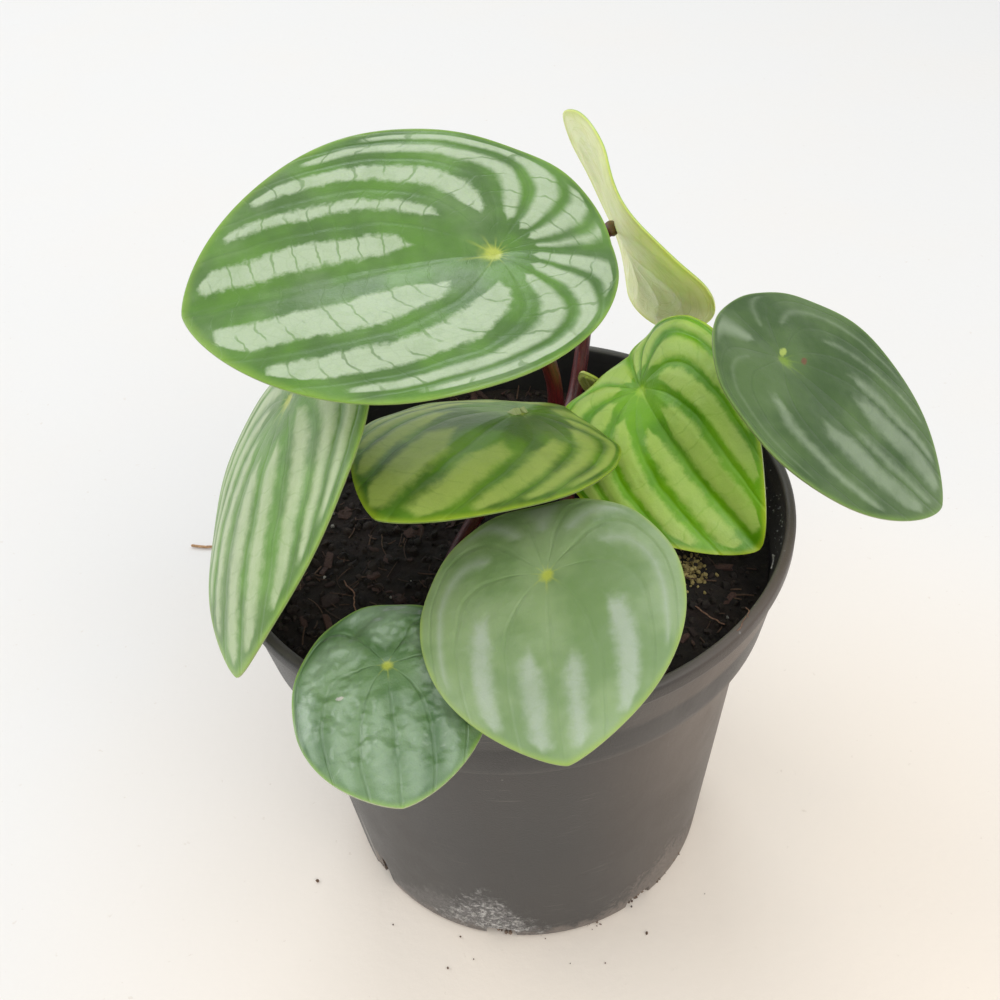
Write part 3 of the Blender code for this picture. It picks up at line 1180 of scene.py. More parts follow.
class PotSkin(Finish):
    """Charcoal plastic with dust, rubs, lime and the dirt at the pot's foot, with painted warm light on its
    right side and painted shade inside the rim.
    """

    haze = Stain(-118.0, 38.0, 19.0, 0.24, 0.5, (0.20, 0.19, 0.185))
    lime = Stain(-105.0, 27.0, 25.0, 0.26, 0.75, (0.30, 0.285, 0.275))
    mud = Stain(-44.0, 44.0, 19.0, 0.2, 0.9, (0.34, 0.285, 0.245))
    splash = Stain(-146.0, 7.0, 8.0, 0.35, 1.0, (0.24, 0.19, 0.15))
    crust_colour = (0.74, 0.72, 0.70)
    skirt_colour = (0.23, 0.19, 0.165)

    def __init__(self, dust_group: bpy.types.NodeTree) -> None:
        """Makes the material and reads the place on the pot.

        Args:
            dust_group: the node group that lays the dust.
        """
        super().__init__("pot", 0.5, Sheen_Weight=0.07, Sheen_Roughness=0.4)
        self.place = self.millimetres()
        self.x, self.y, self.z = self.split(self.place)
        self.around = self.times(self.maths("ARCTAN2", self.y, self.x), 180.0 / math.pi)
        self.film, self.specks = self.use(dust_group, Place=self.place, Amount=0.5)
        self.tone = self.step(self.noise(self.stretched(1.0, 0.3), 0.05, 4.0), 0.3, 0.7)

    def stretched(self, across: float, up: float) -> Socket:
        """The place, scaled across and upwards, for streaky noise."""
        return self.vector("MULTIPLY", self.place, (across, across, up))

    def plastic(self) -> Socket:
        """The plain plastic: dusty, with a darker lip, and painted warm light on the right side."""
        body = self.mix(self.tone, (0.026, 0.026, 0.027), (0.040, 0.037, 0.035))
        # Painted light: the right side, most of all its upper wall and collar, is made lighter and warmer to
        # stand in for warm light reflected from the floor.
        side = self.step(self.apart(self.around, -30.0), 8.0, 55.0, 0.9, 0.0)
        painted_warm_light = self.times(side, self.step(self.z, 20.0, 72.0, 0.5, 1.0))
        body = self.mix(painted_warm_light, body, (0.120, 0.084, 0.060))
        body = self.mix(self.times(self.film, 0.30), body, (0.14, 0.125, 0.11))
        lip = self.times(self.step(self.z, 85.0, 85.6), self.step(self.z, 87.6, 88.4, 1.0, 0.35))
        body = self.mix(self.times(lip, 0.45), body, (0.012, 0.012, 0.013))
        edge = self.step(self.apart(self.z, 88.35), 0.05, 0.3, 0.4, 0.0)
        return self.mix(edge, body, (0.13, 0.12, 0.11))

    def spread(self, stain: Stain, body: Socket) -> tuple[Socket, Socket]:
        """Adds one stain to a colour.

        Args:
            stain: the mark.
            body: the colour under it.

        Returns:
            The colour with the mark on it, and where the mark lies.
        """
        mask = stain.mask(self, self.around, self.z, self.place)
        return self.mix(self.times(mask, stain.share), body, stain.colour), mask

    def stained(self, body: Socket) -> tuple[Socket, Socket]:
        """Adds lime, mud and the ring of dirt at the foot.

        Args:
            body: the colour under them.

        Returns:
            The colour with the stains on it, and where the rough ones lie.
        """
        body, _ = self.spread(self.haze, body)
        body, lime = self.spread(self.lime, body)
        crust = self.step(self.noise(self.place, 0.8, 6.0, 0.8), 0.47, 0.58)
        body = self.mix(self.times(lime, crust), body, self.crust_colour)
        ragged = self.times_plus(self.noise(self.place, 0.35, 5.0, 0.75), -11.0, self.z)
        body = self.mix(self.step(ragged, -4.6, -1.6, 0.75, 0.0), body, self.skirt_colour)
        body, mud = self.spread(self.mud, body)
        body, splash = self.spread(self.splash, body)
        return body, self.most(lime, self.most(mud, splash))

    def worn_and_shaded(self, body: Socket, split: float) -> Socket:
        """Adds specks, rubs, painted shade on the inner wall above the soil and the marks beside the split
        notch.

        Args:
            body: the colour under them.
            split: where the split notch is, in degrees round the pot.
        """
        few = self.step(self.noise(self.place, 0.11), 0.55, 0.6, 0.0, 0.5)
        body = self.mix(self.times(self.specks, few), body, (0.3, 0.29, 0.27))
        radius = self.vector("LENGTH", self.joined(self.x, self.y))
        # Painted shade: the inner wall above the soil is darkened nearly to black, where shade falls inside the
        # rim.
        inside = self.times(self.step(radius, 50.62, 50.3), self.step(self.z, 70.0, 72.0))
        body = self.mix(self.times(inside, 0.7), body, (0.010, 0.010, 0.011))
        seam = self.step(self.apart(self.around, split), 1.0, 5.0, 1.0, 0.0)
        seam = self.times(seam, self.step(self.z, 7.0, 13.0, 0.85, 0.0))
        seam = self.times(seam, self.step(self.noise(self.place, 0.9, 3.0), 0.4, 0.6))
        body = self.mix(seam, body, (0.20, 0.13, 0.09))
        streak = self.step(self.apart(self.around, split - 3.4), 0.4, 1.5, 0.6, 0.0)
        streak = self.times(streak, self.step(self.z, 14.0, 26.0, 1.0, 0.0))
        body = self.mix(streak, body, (0.34, 0.32, 0.30))
        rub = self.step(self.noise(self.stretched(0.12, 2.2), 1.0, 3.0, 0.6), 0.60, 0.70, 0.0, 0.22)
        rub = self.times(rub, self.step(self.noise(self.place, 0.07), 0.45, 0.6))
        return self.mix(rub, body, (0.26, 0.24, 0.22))

    def finished(self, split: float) -> bpy.types.Material:
        """Joins the layers and returns the material.

        Args:
            split: where the split notch is, in degrees round the pot.
        """
        body, dirt = self.stained(self.plastic())
        body = self.worn_and_shaded(body, split)
        scratch = self.noise(self.stretched(1.0, 0.12), 1.4, 3.0, 0.7)
        relief = self.times_plus(self.noise(self.place, 3.5, 4.0, 0.6), 0.35, self.times(scratch, 0.25))
        lumps = self.times(self.noise(self.place, 1.3, 4.0, 0.8), 3.0)
        relief = self.times_plus(dirt, lumps, relief)
        shine = self.times_plus(self.film, 0.22, self.times_plus(self.tone, 0.08, 0.40))
        shine = self.most(shine, self.times(dirt, 0.85))
        return self.paint(body, shine, self.bump(relief, 0.00022))


@dataclass
class Pot:
    """The thin moulded nursery pot, in millimetres and degrees."""

    steps: int = 240
    notches: int = 8
    first_notch: float = -146.0
    notch_width: float = 7.0
    notch_height: float = 3.4
    notch_depth: float = 5.0
    base: float = 39.0
    slit_height: float = 9.5

    def profile(self) -> list[tuple[float, float]]:
        """The wall's section as radius and height, from the middle inside to the middle below."""
        inside = [(0.0, 2.0), (20.0, 2.0), (35.6, 2.0), (36.8, 2.25), (37.4, 3.0), (40.0, 27.0), (44.5, 70.6)]
        inside += [(44.9, 71.3), (47.2, 72.0), (47.8, 72.7), (49.1, 78.6), (50.3, 84.4), (50.5, 86.0)]
        inside += [(50.55, 87.8)]
        lip = [(50.7, 88.25), (51.05, 88.47), (51.5, 88.5), (52.05, 88.4), (52.4, 88.05), (52.5, 87.5)]
        lip += [(52.5, 85.8), (52.4, 85.5), (52.1, 85.3), (51.85, 85.1), (51.75, 84.7)]
        wall = [(50.5, 78.0), (49.2, 70.35), (49.08, 70.08), (48.9, 70.0), (46.6, 69.7), (46.15, 69.4)]
        wall += [(45.95, 68.8), (42.6, 36.0), (39.15, 2.2), (39.0, 1.0), (38.6, 0.35), (38.0, 0.0)]
        wall += [(33.5, 0.0), (33.0, 0.3)]
        return inside + lip + wall + [(32.6, 0.8), (16.0, 0.8), (0.0, 0.8)]

    def turned(self) -> bpy.types.Object:
        """Spins the section round the pot's axis."""
        Bench.clear()
        bpy.ops.mesh.primitive_circle_add(vertices=len(self.profile()) + 1, radius=1.0)
        piece = Bench.take("pot_shell")
        section = self.profile()
        with Bench.editing("DESELECT"):
            bpy.ops.mesh.select_mode(type="VERT")
        piece.data.vertices[len(section)].select = True
        bpy.ops.object.mode_set(mode="EDIT")
        bpy.ops.mesh.delete(type="VERT")
        bpy.ops.object.mode_set(mode="OBJECT")
        Bench.shape(piece, np.array([(r, 0.0, z) for r, z in section]) * MM)
        with Bench.editing():
            bpy.ops.mesh.spin(steps=self.steps, angle=FULL_TURN, center=(0, 0, 0), axis=(0, 0, 1))
        Bench.weld(piece, 1e-5, outward=True)
        return piece

    def cut(
        self, piece: bpy.types.Object, turn: float, depth: float, wide: float, tall: float, taper: float
    ) -> None:
        """Cuts one opening up from the base's edge.

        Args:
            piece: the pot.
            turn: where it is, in degrees round the pot.
            depth: how far in from the edge it reaches, in millimetres.
            wide: its width at the foot.
            tall: its height.
            taper: how much narrower it is at the top, as a share.
        """
        angle = math.radians(turn)
        Bench.clear()
        bpy.ops.mesh.primitive_cube_add(size=1.0)
        cutter = Bench.take("notch")
        cube = Bench.corners(cutter)
        x = cube[:, 0] * (depth + 2.0) + self.base + 1.0 - depth / 2.0
        y = cube[:, 1] * wide * (1.0 - taper * (cube[:, 2] + 0.5))
        z = (cube[:, 2] + 0.5) * (tall + 1.0) - 1.0
        c, s = math.cos(angle), math.sin(angle)
        Bench.shape(cutter, np.stack([x * c - y * s, x * s + y * c, z], axis=1) * MM)
        Bench.modify(piece, "BOOLEAN", operation="DIFFERENCE", object=cutter, solver="EXACT")
        bpy.data.objects.remove(cutter)

    def notched(self, piece: bpy.types.Object) -> None:
        """Cuts the drain notches, and the slit where one of them has split."""
        for index in range(self.notches):
            turn = self.first_notch + 360.0 / self.notches * index
            self.cut(piece, turn, self.notch_depth, self.notch_width, self.notch_height, 0.16)
        self.cut(piece, self.first_notch + 3.2, self.notch_depth, 2.5, self.slit_height, 0.45)

    def warped(self, piece: bpy.types.Object) -> None:
        """Lets the thin wall wander a little from true, as a moulded pot does."""
        points = Bench.corners(piece) / MM
        angle = np.arctan2(points[:, 1], points[:, 0])
        share = ease(8.0, 80.0, points[:, 2])
        out = 0.16 * np.sin(2.0 * angle + 0.6) * share + 0.06 * np.sin(5.0 * angle + 1.0) * share
        radius = np.maximum(np.hypot(points[:, 0], points[:, 1]), 1e-6)
        out *= radius > 30.0
        points[:, 0] *= 1.0 + out / radius
        points[:, 1] *= 1.0 + out / radius
        Bench.shape(piece, points * MM)

    def make(self, groups: dict[str, bpy.types.NodeTree]) -> None:
        """Builds, dresses and hangs the pot."""
        piece = self.turned()
        self.warped(piece)
        self.notched(piece)
        Bench.smooth(piece, 40.0)
        piece.data.materials.append(PotSkin(groups["dust"]).finished(self.first_notch))
        Bench.ride(piece, "pot", ("pot",))


# ---------------------------------------------------------------- soil


class Bit(Enum):
    """What lies in and on the soil."""

    CRUMB = "crumb"
    BARK = "bark"
    FIBRE = "fibre"
    PERLITE = "perlite"
    MOSS = "moss"


@dataclass(frozen=True)
class Scatter:
    """How one kind of bit is strewn: how many, how large, and its colours."""

    kind: Bit
    count: int
    small: float
    large: float
    dark: Colour
    light: Colour
    seed: int
    roughness: float = 0.8


@dataclass
class Soil:
    """Loose, dark potting soil with bark, fibres, perlite and a tuft of moss, in millimetres."""

    top: float = 80.0
    edge: float = 78.3
    radius: float = 48.6
    floor: float = 2.5
    rings: int = 90
    around: int = 300
    clear_edge: float = 1.2
    clear_crown: float = 5.5
    moss: tuple[float, float] = (32.3, -13.8)
    scatters: tuple[Scatter, ...] = ()

    def height(self, points: np.ndarray) -> np.ndarray:
        """The soil's height at each place, in millimetres."""
        reach = np.hypot(points[:, 0], points[:, 1]) / self.radius
        flat = np.column_stack([points[:, :2], np.zeros(len(points))])
        body = self.top - 0.5 - (self.top - self.edge) * ease(0.75, 1.0, reach)
        lumps = 0.75 * rough(flat, 9.0, 3, 1.0) + 0.55 * np.abs(rough(flat, 3.2, 3, 2.0))
        return body + lumps + 0.22 * rough(flat, 1.1, 2, 4.0)

    def build(self) -> bpy.types.Object:
        """Wraps a grid into the bed's top, side and underside."""
        piece, share = Bench.grid("soil_bed", self.rings + 6, self.around)
        turn = FULL_TURN * share[:, 1]
        ring = np.rint(share[:, 0] * (self.rings + 6)).astype(int)
        reach = np.minimum(ring / self.rings, 1.0) * self.radius
        flat = np.column_stack([reach * np.cos(turn), reach * np.sin(turn)])
        z = self.height(flat)
        sides = {1: (0.0, 77.0), 2: (-0.9, 73.0), 3: (-4.3, 70.5), 4: (-6.5, 50.0)}
        sides |= {5: (-11.9, self.floor), 6: (-self.radius, self.floor)}
        for step, (inward, level) in sides.items():
            chosen = ring == self.rings + step
            radius = self.radius + inward
            flat[chosen] = np.column_stack([radius * np.cos(turn[chosen]), radius * np.sin(turn[chosen])])
            z[chosen] = level
        Bench.shape(piece, np.column_stack([flat, z]) * MM)
        Bench.weld(piece, 1e-6, outward=True)
        Bench.smooth(piece)
        return piece

    def material(self) -> bpy.types.Material:
        """Makes the nearly black, crumbly ground."""
        g = Finish("soil", 0.9)
        place = g.millimetres()
        tone = g.step(g.noise(place, 0.3, 5.0, 0.7), 0.35, 0.65)
        body = g.mix(tone, (0.010, 0.007, 0.006), (0.030, 0.019, 0.014))
        body = g.mix(g.step(g.noise(place, 0.09, 2.0), 0.5, 0.7, 0.0, 0.5), body, (0.045, 0.022, 0.018))
        body = g.mix(g.step(g.noise(place, 2.2, 4.0, 0.8), 0.6, 0.7, 0.0, 0.5), body, (0.085, 0.060, 0.045))
        relief = g.times_plus(g.noise(place, 0.9, 6.0, 0.75), 1.6, g.noise(place, 3.0, 4.0, 0.8))
        return g.paint(body, 0.88, g.bump(relief, 0.0008))

    @staticmethod
    def template(kind: Bit) -> tuple[np.ndarray, list[tuple[int, ...]]]:
        """Models one bit of a kind at the origin, about 1 mm across.

        Returns:
            Its corners and its faces.
        """
        Bench.clear()
        if kind is Bit.FIBRE:
            lying = (0.0, math.pi / 2.0, 0.0)
            bpy.ops.mesh.primitive_cylinder_add(vertices=5, radius=0.05, depth=1.0, rotation=lying)
        elif kind is Bit.BARK:
            bpy.ops.mesh.primitive_cube_add(size=1.0)
        else:
            finer = 1 if kind is Bit.CRUMB else 2
            bpy.ops.mesh.primitive_ico_sphere_add(subdivisions=finer, radius=0.5)
        piece = Bench.take("bit")
        if kind is Bit.FIBRE:
            bpy.ops.object.transform_apply(rotation=True)
            for cut in (-0.3, -0.1, 0.1, 0.3):
                with Bench.editing():
                    bpy.ops.mesh.bisect(plane_co=(cut, 0.0, 0.0), plane_no=(1.0, 0.0, 0.0))
        elif kind is Bit.BARK:
            with Bench.editing():
                bpy.ops.mesh.bevel(offset=0.16, segments=1)
        corners = Bench.corners(piece).copy()
        faces = [tuple(p.vertices) for p in piece.data.polygons]
        bpy.data.objects.remove(piece)
        return corners, faces

    @staticmethod
    def bent_bit(kind: Bit, corners: np.ndarray, size: float, draw: random.Random) -> np.ndarray:
        """Gives one copy its own shape.

        Args:
            kind: what it is.
            corners: the template's corners.
            size: its length in millimetres.
            draw: the random numbers to use.
        """
        if kind is Bit.FIBRE:
            bow = draw.uniform(-0.5, 0.5)
            made = corners * np.array([size, draw.uniform(1.6, 3.4), draw.uniform(1.6, 3.4)])
            made[:, 1] += bow * size * (corners[:, 0] ** 2)
            made[:, 2] += draw.uniform(-0.2, 0.25) * size * (corners[:, 0] ** 2)
            return made
        if kind is Bit.BARK:
            scale = np.array([size, size * draw.uniform(0.3, 0.65), size * draw.uniform(0.12, 0.3)])
        else:
            scale = np.array([size, size * draw.uniform(0.6, 1.0), size * draw.uniform(0.5, 0.95)])
        jitter = np.array([[draw.uniform(0.72, 1.28) for _ in range(3)] for _ in corners])
        return corners * jitter * scale

    def strew(self, plan: Scatter, places: list[tuple[float, float, float]]) -> bpy.types.Object:
        """Copies one kind of bit to many places and joins the copies.

        Args:
            plan: how the bits look.
            places: where they lie, in millimetres.

        Returns:
            One object that holds them all.
        """
        draw = random.Random(plan.seed)
        corners, faces = self.template(plan.kind)
        points, polygons, tints = [], [], []
        for place in places:
            size = plan.small + (plan.large - plan.small) * draw.random() ** 2.2
            shape = self.bent_bit(plan.kind, corners, size, draw)
            tilt = 0.35 if plan.kind in (Bit.FIBRE, Bit.BARK) else math.pi
            turn = Matrix.Rotation(draw.uniform(0.0, FULL_TURN), 3, "Z")
            for axis in "YX":
                turn = turn @ Matrix.Rotation(draw.uniform(-tilt, tilt), 3, axis)
            start = len(points) * len(corners)
            points.append(shape @ np.array(turn).T + np.array(place))
            polygons += [tuple(start + i for i in face) for face in faces]
            tints.append(np.full(len(corners), draw.random()))
        mesh = bpy.data.meshes.new(f"soil_{plan.kind.value}")
        mesh.from_pydata(np.concatenate(points) * MM, [], polygons)
        piece = bpy.data.objects.new(mesh.name, mesh)
        bpy.context.scene.collection.objects.link(piece)
        Bench.attribute(piece, "tint", np.concatenate(tints))
        Bench.smooth(piece, 50.0)
        piece.data.materials.append(self.bit_material(plan))
        return piece

    @staticmethod
    def bit_material(plan: Scatter) -> bpy.types.Material:
        """Makes one kind of bit's material, each bit a shade of its own."""
        g = Finish(f"soil_{plan.kind.value}", plan.roughness)
        place = g.millimetres()
        tint = g.attribute("tint", "Fac")
        body = g.mix(tint, plan.dark, plan.light)
        grain = g.noise(place, 2.4, 5.0, 0.7)
        body = g.mix(g.step(grain, 0.4, 0.65, 0.0, 0.5), body, plan.dark)
        shine = g.step(grain, 0.3, 0.7, plan.roughness - 0.12, plan.roughness)
        return g.paint(body, shine, g.bump(grain, 0.0004))

    def spots(self, plan: Scatter) -> list[tuple[float, float, float]]:
        """Places spread over the soil's top."""
        draw = random.Random(plan.seed + 500)
        flat = []
        while len(flat) < plan.count:
            x, y = draw.uniform(-1.0, 1.0) * self.radius, draw.uniform(-1.0, 1.0) * self.radius
            beside = math.hypot(x - CROWN_MIDDLE.x, y - CROWN_MIDDLE.y)
            if math.hypot(x, y) < self.radius - self.clear_edge and beside > self.clear_crown:
                flat.append((x, y))
        if plan.kind is Bit.MOSS:
            x, y = self.moss
            flat = [(x + draw.gauss(0.0, 1.5), y + draw.gauss(0.0, 1.9)) for _ in flat]
        z = self.height(np.array(flat))
        lift = {Bit.FIBRE: 0.45, Bit.BARK: 0.35, Bit.MOSS: 0.7}.get(plan.kind, 0.2)
        return [(x, y, h + draw.uniform(0.0, lift)) for (x, y), h in zip(flat, z)]

    def make(self) -> None:
        """Builds, dresses and hangs the soil and what lies on it."""
        piece = self.build()
        piece.data.materials.append(self.material())
        Bench.ride(piece, "soil", ("soil",))
        for plan in self.scatters:
            Bench.ride(self.strew(plan, self.spots(plan)), "soil")


@dataclass(frozen=True)
class Rootlet:
    """One thin root: where it starts, where it heads and how it curls, in millimetres and degrees."""

    turn: float
    reach: float
    z: float
    length: float
    radius: float
    heading: float
    climb: float
    curl: float
    pale: bool = False


@dataclass(frozen=True)
class DirtPatch:
    """Crumbs stuck to the foot: how many, round where, how far out and between which heights."""

    count: int
    middle: float
    spread: float
    reach: float
    low: float
    high: float


@dataclass
class WallBits:
    """Grit, dirt and thin roots that cling to the wall, the rim and the foot."""

    soil: Soil
    grit: Scatter = Scatter(Bit.PERLITE, 80, 0.15, 0.5, (0.40, 0.40, 0.40), (0.85, 0.85, 0.84), 61, 0.7)
    dirt: Scatter = Scatter(Bit.CRUMB, 0, 0.2, 1.1, (0.10, 0.062, 0.042), (0.36, 0.26, 0.19), 81, 0.85)
    patches: tuple[DirtPatch, ...] = (
        DirtPatch(9, -142.8, 1.1, 38.1, 3.6, 9.0),
        DirtPatch(20, -55.5, 3.6, 38.5, 1.0, 3.8),
        DirtPatch(8, -101.0, 4.0, 38.4, 0.8, 3.4),
        DirtPatch(9, -42.0, 9.0, 39.0, 0.8, 3.2),
        DirtPatch(5, -73.0, 2.5, 38.9, 0.4, 1.6),
    )
    rootlets: tuple[Rootlet, ...] = (
        Rootlet(-21.5, 49.2, 83.2, 3.6, 0.13, 68.0, 0.1, 0.10, True),
        Rootlet(-19.3, 49.3, 84.6, 3.0, 0.13, 68.0, -1.6, 0.08, True),
        Rootlet(-46.0, 51.5, 88.5, 3.8, 0.08, 38.0, 0.0, 0.35),
        Rootlet(-42.0, 51.3, 88.5, 2.6, 0.07, 80.0, 0.1, 0.5),
        Rootlet(-38.0, 45.5, 80.4, 7.0, 0.13, 150.0, 0.0, 0.5),
        Rootlet(152.0, 38.0, 80.5, 10.0, 0.16, 20.0, 0.0, 0.5),
        Rootlet(-160.0, 33.0, 80.6, 9.0, 0.14, 300.0, 0.0, 0.5),
    )

    def grit_places(self) -> list[tuple[float, float, float]]:
        """White grains in an upright band on the inner wall, on the right."""
        draw = random.Random(62)
        places = []
        for _ in range(self.grit.count):
            turn = math.radians(draw.gauss(-9.0, 9.0))
            z = draw.uniform(79.2, 86.8)
            radius = 49.25 + (z - 78.6) * 0.19
            places.append((radius * math.cos(turn), radius * math.sin(turn), z))
        return places

    @staticmethod
    def root(index: int, root: Rootlet) -> bpy.types.Object:
        """Sweeps one thin root.

        Args:
            index: its number, which picks its random curl.
            root: where it starts and how it runs.
        """
        draw = random.Random(90 + index)
        heading, turn = math.radians(root.heading), math.radians(root.turn)
        here = Vector((root.reach * math.cos(turn), root.reach * math.sin(turn), root.z))
        path = []
        for _ in range(14):
            path.append(here.copy())
            heading += draw.uniform(-root.curl, root.curl)
            climb = root.climb + draw.uniform(-0.2, 0.2) * root.curl
            here += Vector((math.cos(heading), math.sin(heading), climb)).normalized() * root.length / 14.0
        return swept(f"rootlet_{index}", path, [root.radius] * 14, 7)

    def dirt_places(self) -> list[tuple[float, float, float]]:
        """Crumbs wedged in the slit and the front notches and stuck along the foot."""
        draw = random.Random(82)
        places = []
        for patch in self.patches:
            for _ in range(patch.count):
                turn = math.radians(draw.uniform(patch.middle - patch.spread, patch.middle + patch.spread))
                z = draw.uniform(patch.low, patch.high)
                radius = patch.reach + 0.1 * z
                places.append((radius * math.cos(turn), radius * math.sin(turn), z))
        return places

    def make(self) -> None:
        """Builds, dresses and hangs the bits."""
        for plan, places, name in (
            (self.grit, self.grit_places(), "wall_grit"), (self.dirt, self.dirt_places(), "foot_dirt")
        ):
            grains = self.soil.strew(plan, places)
            grains.name = grains.data.name = name
            Bench.ride(grains, "soil")
        pale = self.fibre("rootlet_pale", (0.66, 0.64, 0.60))
        tan = self.fibre("rootlet_tan", (0.30, 0.16, 0.10))
        for index, root in enumerate(self.rootlets):
            piece = self.root(index, root)
            piece.data.materials.append(pale if root.pale else tan)
            Bench.ride(piece, "soil")

    @staticmethod
    def fibre(name: str, colour: Colour) -> bpy.types.Material:
        """Makes a thin root's material.

        Args:
            name: the material's name.
            colour: its lighter colour.
        """
        g = Finish(name, 0.7)
        place = g.millimetres()
        grain = g.noise(place, 2.0, 4.0, 0.7)
        dark = tuple(c * 0.45 for c in colour)
        return g.paint(g.mix(g.step(grain, 0.35, 0.65), dark, colour), 0.7, g.bump(grain, 0.0002))


# ---------------------------------------------------------------- studio


@dataclass(frozen=True)
class Lamp:
    """One soft rectangular light: its place and size in metres, and its power in watts."""

    name: str
    place: tuple[float, float, float]
    size: tuple[float, float]
    power: float
    colour: Colour

    def hang(self, aim: Vector) -> None:
        """Adds the lamp and turns it to a point."""
        Bench.clear()
        bpy.ops.object.light_add(type="AREA", location=self.place)
        lamp = bpy.context.object
        lamp.name = self.name
        lamp.data.shape = "RECTANGLE"
        lamp.data.size, lamp.data.size_y = self.size
        lamp.data.energy = self.power
        lamp.data.color = self.colour
        lamp.rotation_euler = (aim - Vector(self.place)).to_track_quat("-Z", "Y").to_euler()


@dataclass
class Studio:
    """The pale floor, the soft light and the camera, in metres."""

    eye: Vector = field(default_factory=lambda: Vector((0.0, -0.17061, 0.23562)))
    right: Vector = field(default_factory=lambda: Vector((0.99774, -0.03863, -0.05491)))
    up: Vector = field(default_factory=lambda: Vector((0.0668, 0.6535, 0.7540)))
    lens: float = 43.57
    aim: Vector = field(default_factory=lambda: Vector((0.0, 0.0, 0.08)))
    floor_radius: float = 4.0
    floor_drop: float = 0.0002
    floor_colour: Colour = (0.828, 0.812, 0.792)
    # The warm colour and its middle paint the pot's soft shadow onto the floor as a warm tint.
    painted_shadow_tint: Colour = (0.96, 0.862, 0.752)
    painted_shadow_middle: tuple[float, float, float] = (40.0, -55.0, 0.0)
    air_colour: Colour = (0.96, 0.98, 1.0)
    air_strength: float = 0.66
    lamps: tuple[Lamp, ...] = (
        Lamp("window", (-1.35, 0.5, 0.9), (1.4, 1.0), 7.5, (0.97, 0.99, 1.0)),
        Lamp("sky", (-0.1, 1.0, 1.05), (0.5, 0.32), 2.6, (0.88, 0.95, 1.0)),
        Lamp("fill", (0.35, -0.75, 0.9), (1.0, 0.8), 5.8, (1.0, 0.98, 0.95)),
        Lamp("top", (0.1, 0.0, 1.6), (1.4, 1.4), 3.0, (1.0, 0.99, 0.97)),
    )

    def floor(self) -> None:
        """Lays the wide pale floor, with a painted warm shadow tint by the pot's front right."""
        Bench.clear()
        bpy.ops.mesh.primitive_circle_add(vertices=128, radius=self.floor_radius, fill_type="NGON")
        piece = Bench.take("floor")
        Bench.shape(piece, Bench.corners(piece) - np.array((0.0, 0.0, self.floor_drop)))
        g = Finish("floor", 0.7)
        place = g.millimetres()
        # Painted shadow: the floor turns warm within about 200 mm of a point at the pot's front right, where
        # the pot's soft shadow falls.
        away = g.vector("LENGTH", g.vector("SUBTRACT", place, self.painted_shadow_middle))
        body = g.mix(g.step(away, 40.0, 200.0, 1.0, 0.0), self.floor_colour, self.painted_shadow_tint)
        body = g.mix(g.step(g.noise(place, 0.012, 4.0), 0.4, 0.7, 0.0, 0.2), body, (0.86, 0.80, 0.73))
        body = g.mix(g.step(g.noise(place, 0.35, 3.0, 0.7), 0.68, 0.74, 0.0, 0.25), body, (0.6, 0.5, 0.4))
        piece.data.materials.append(g.paint(body, 0.72, g.bump(g.noise(place, 0.4, 4.0), 0.0001)))

    def crumbs(self, soil: Soil) -> None:
        """Drops a few crumbs of soil on the floor by the pot."""
        plan = Scatter(Bit.CRUMB, 0, 0.3, 1.1, (0.05, 0.03, 0.02), (0.22, 0.13, 0.08), 71)
        draw = random.Random(72)
        places = [(1.6, -39.6, 0.3), (12.6, -37.6, 0.5), (13.4, -37.2, 0.4), (11.6, -38.2, 0.3)]
        places.append((20.4, -33.6, 0.4))
        for _ in range(9):
            turn, reach = draw.uniform(-2.9, -0.2), 40.0 + abs(draw.gauss(0.0, 5.0))
            places.append((reach * math.cos(turn), reach * math.sin(turn), 0.15))
        piece = soil.strew(plan, places)
        piece.name = "floor_crumbs"
        flake = WallBits.root(9, Rootlet(135.8, 129.0, 0.45, 8.5, 0.4, -6.0, 0.0, 0.3))
        flake.data.materials.append(WallBits.fibre("floor_flake", (0.62, 0.36, 0.18)))
        flake.name = "floor_flake"

    def light(self) -> None:
        """Hangs the soft lights round the plant."""
        world = bpy.data.worlds.new("studio")
        world.use_nodes = True
        air = world.node_tree.nodes["Background"].inputs
        air["Color"].default_value = (*self.air_colour, 1.0)
        air["Strength"].default_value = self.air_strength
        bpy.context.scene.world = world
        for lamp in self.lamps:
            lamp.hang(self.aim)

    def camera(self) -> None:
        """Sets up the camera."""
        Bench.clear()
        bpy.ops.object.camera_add(location=self.eye)
        camera = bpy.context.object
        camera.data.lens = self.lens
        camera.data.sensor_width = 36.0
        camera.data.clip_start = 0.01
        right = self.right.normalized()
        back = right.cross(self.up).normalized()
        up = back.cross(right)
        camera.rotation_euler = Matrix((right, up, back)).transposed().to_euler()
        bpy.context.scene.camera = camera
        bpy.context.scene.view_settings.view_transform = "Standard"

    def make(self, soil: Soil) -> None:
        """Builds the whole studio."""
        self.floor()
        self.crumbs(soil)
        self.light()
        self.camera()


# ---------------------------------------------------------------- the plant


